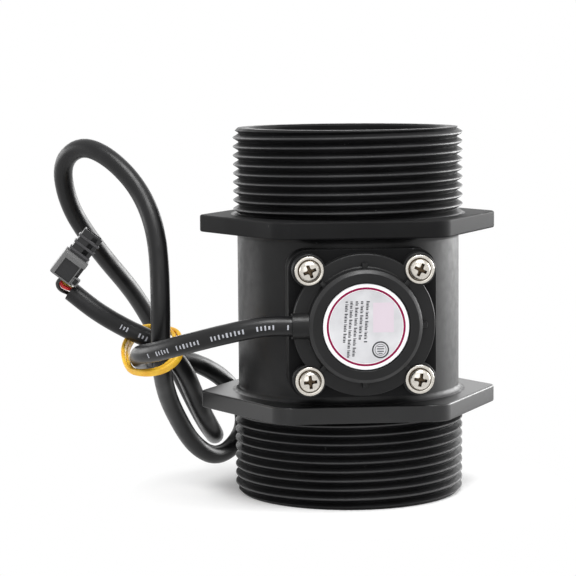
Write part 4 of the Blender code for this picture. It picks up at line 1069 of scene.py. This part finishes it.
def plug_box(name, *spans):
    """A box on the plug's axes, from its spans across, back and towards the tip."""
    low, high = ([value * MM for value in corner] for corner in zip(*spans))
    return box(name, low, high, PLUG_AXIS)


def plug_block():
    """The plug's rear block, with wide slopes along the left and tip edges of its front."""
    block = plug_box("block", (-PLUG_SIDE, PLUG_SIDE), (PLUG_FRONT, -PLUG_FRONT), (0, PLUG_BLOCK))
    with editing(block.data) as work:
        front = [e for e in work.edges if all(v.co.y < 0 for v in e.verts)]
        sloped = [e for e in front if all(v.co.x < 0 for v in e.verts)
                  or all(v.co.z > PLUG_BLOCK * MM / 2 for v in e.verts)]
        bmesh.ops.bevel(work, geom=sloped, offset=PLUG_SLOPE * MM, segments=1, profile=0.5, affect="EDGES")
    return bevelled(combine(block, "DIFFERENCE", plug_box("step", *BACK_STEP)), SMALL_EDGE)


def build_connector(material, frame_highlight, bar_material):
    """Block with a recessed panel, a lip and a latch; nose with bars, windows and an open end."""
    nose = ((-NOSE_SIDE, NOSE_SIDE), (NOSE_FRONT, -NOSE_FRONT), (PLUG_BLOCK - 1, PLUG_TIP))
    pieces = [plug_box("nose", *nose), plug_box("latch", *LATCH)]
    for level in BAR_LEVELS:
        height = (level - BAR_HALF, level + BAR_HALF)
        pieces += [plug_box("side_bar", *SIDE_BAR, height), plug_box("front_bar", *FRONT_BAR, height)]
    plug = combine(plug_block(), "UNION", *[bevelled(piece, PLUG_EDGE) for piece in pieces])
    side, front = NOSE_SIDE - NOSE_WALL, NOSE_FRONT + NOSE_WALL
    cutters = [plug_box("panel", *PANEL),
               plug_box("pocket", (-side, side), (front, -front), (PLUG_BLOCK, PLUG_TIP + 1)),
               plug_box("catch", *CATCH)]
    cutters += [plug_box("window", *WINDOW, (level - WINDOW_HALF, level + WINDOW_HALF))
                for level in WINDOW_LEVELS]
    for slot in (-1, 0, 1):
        cutters.append(cylinder("cavity", CAVITY_RADIUS, -CUT, PLUG_BLOCK * MM + CUT, SMALL,
                                PLUG_AXIS @ Matrix.Translation((0, slot * CONTACT_PITCH * MM, 0))))
    plug = combine(plug, "DIFFERENCE", *cutters)
    finish_piece(plug, "plug", material)
    # The slopes and the rim round the panel get a painted highlight
    paint(plug, frame_highlight, on_plug_frame)
    paint(plug, bar_material, on_plug_bar)
    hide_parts("connector_housing")
    return plug


def on_plug_frame(centre, normal):
    """The slopes and the rim round the panel, which get a painted highlight: a lighter plastic than the rest.
    """
    x, y, z = centre / MM
    _, (_, panel_depth), (_, panel_end) = PANEL
    panel_floor = y > panel_depth - 0.05 and abs(x) < PLUG_SIDE - 1 and z < panel_end + 0.1
    return normal.y < -0.3 and y < PLUG_FRONT + PLUG_SLOPE + 0.01 and z < PLUG_BLOCK and not panel_floor


def on_plug_bar(centre, _normal):
    """The fronts of the bars across the nose, which get a lighter plastic than the rest."""
    return centre.z > PLUG_BLOCK * MM and centre.y < (NOSE_FRONT - 0.1) * MM


# Assembly

def dress_solids(steel):
    """Gives the CAD nodes that stay in view their materials."""
    tin = metal_material("tinned_brass", (0.55, 0.52, 0.46), (0.75, 0.72, 0.66))
    support = plain_material("support_nylon", (0.02, 0.02, 0.021), 0.45)
    bush = plain_material("bush_metal", (0.5, 0.34, 0.16), 0.35)
    spring_steel = metal_material("spring_steel", (0.3, 0.3, 0.31), (0.38, 0.38, 0.39), 0.34, 0.42)
    dressed = {
        "contact_1": tin, "contact_2": tin, "contact_3": tin,
        "lower_support": support, "upper_support": support,
        "lower_bush": bush, "upper_bush": bush,
        "lower_retaining_ring": spring_steel, "upper_retaining_ring": spring_steel,
        "rotor": plain_material("rotor_acetal", (0.72, 0.72, 0.69), 0.45),
        "rotor_shaft": steel, "rotor_magnet_1": steel, "rotor_magnet_2": steel,
        "cap_seal": plain_material("seal_rubber", (0.02, 0.02, 0.02), 0.6),
        "circuit_board": plain_material("board_green", (0.02, 0.12, 0.05), 0.4),
        "board_capacitor": plain_material("capacitor_ceramic", (0.42, 0.3, 0.18), 0.5),
        "board_resistor": plain_material("resistor_glaze", (0.03, 0.03, 0.035), 0.35),
        "hall_sensor": plain_material("sensor_epoxy", (0.025, 0.025, 0.025), 0.5),
    }
    for node, material in dressed.items():
        NODES[node].data.materials.clear()
        NODES[node].data.materials.append(material)


def main():
    build_camera()
    build_lamps()
    build_world()
    build_floor()
    steel = metal_material("screw_steel", (0.58, 0.545, 0.495), (0.7, 0.67, 0.61))
    build_housing(body_nylon_material())
    build_cap(cap_nylon_material())
    # The second steel is a dark brown painted shade for the screws' recess and groove
    build_screws(steel, metal_material("recess_painted_shade", (0.05, 0.035, 0.02), (0.16, 0.12, 0.08), 0.3, 0.5))
    build_label(film_material(), plain_material("white_print", (0.86, 0.86, 0.87), 0.35),
                plain_material("crimson_print", (0.23, 0.005, 0.055), 0.5, gloss=0.08),
                plain_material("grey_print", (0.045, 0.045, 0.05), 0.5, gloss=0.15),
                plain_material("pink_print", (0.63, 0.55, 0.61), 0.4, gloss=0.2))
    cable, line = build_cable(jacket_material())
    prints = build_prints(line, plain_material("white_ink", (0.42, 0.43, 0.47), 0.5))
    band = build_band(rubber_band_material())
    wires = build_wires(line)
    plug = build_connector(plain_material("connector_plastic", (0.009, 0.009, 0.01), 0.36, gloss=0.4),
                           plain_material("plastic_painted_highlight", (0.11, 0.11, 0.11), 0.4),
                           plain_material("lighter_bar_plastic", (0.035, 0.034, 0.037), 0.4))
    dress_solids(steel)


main()
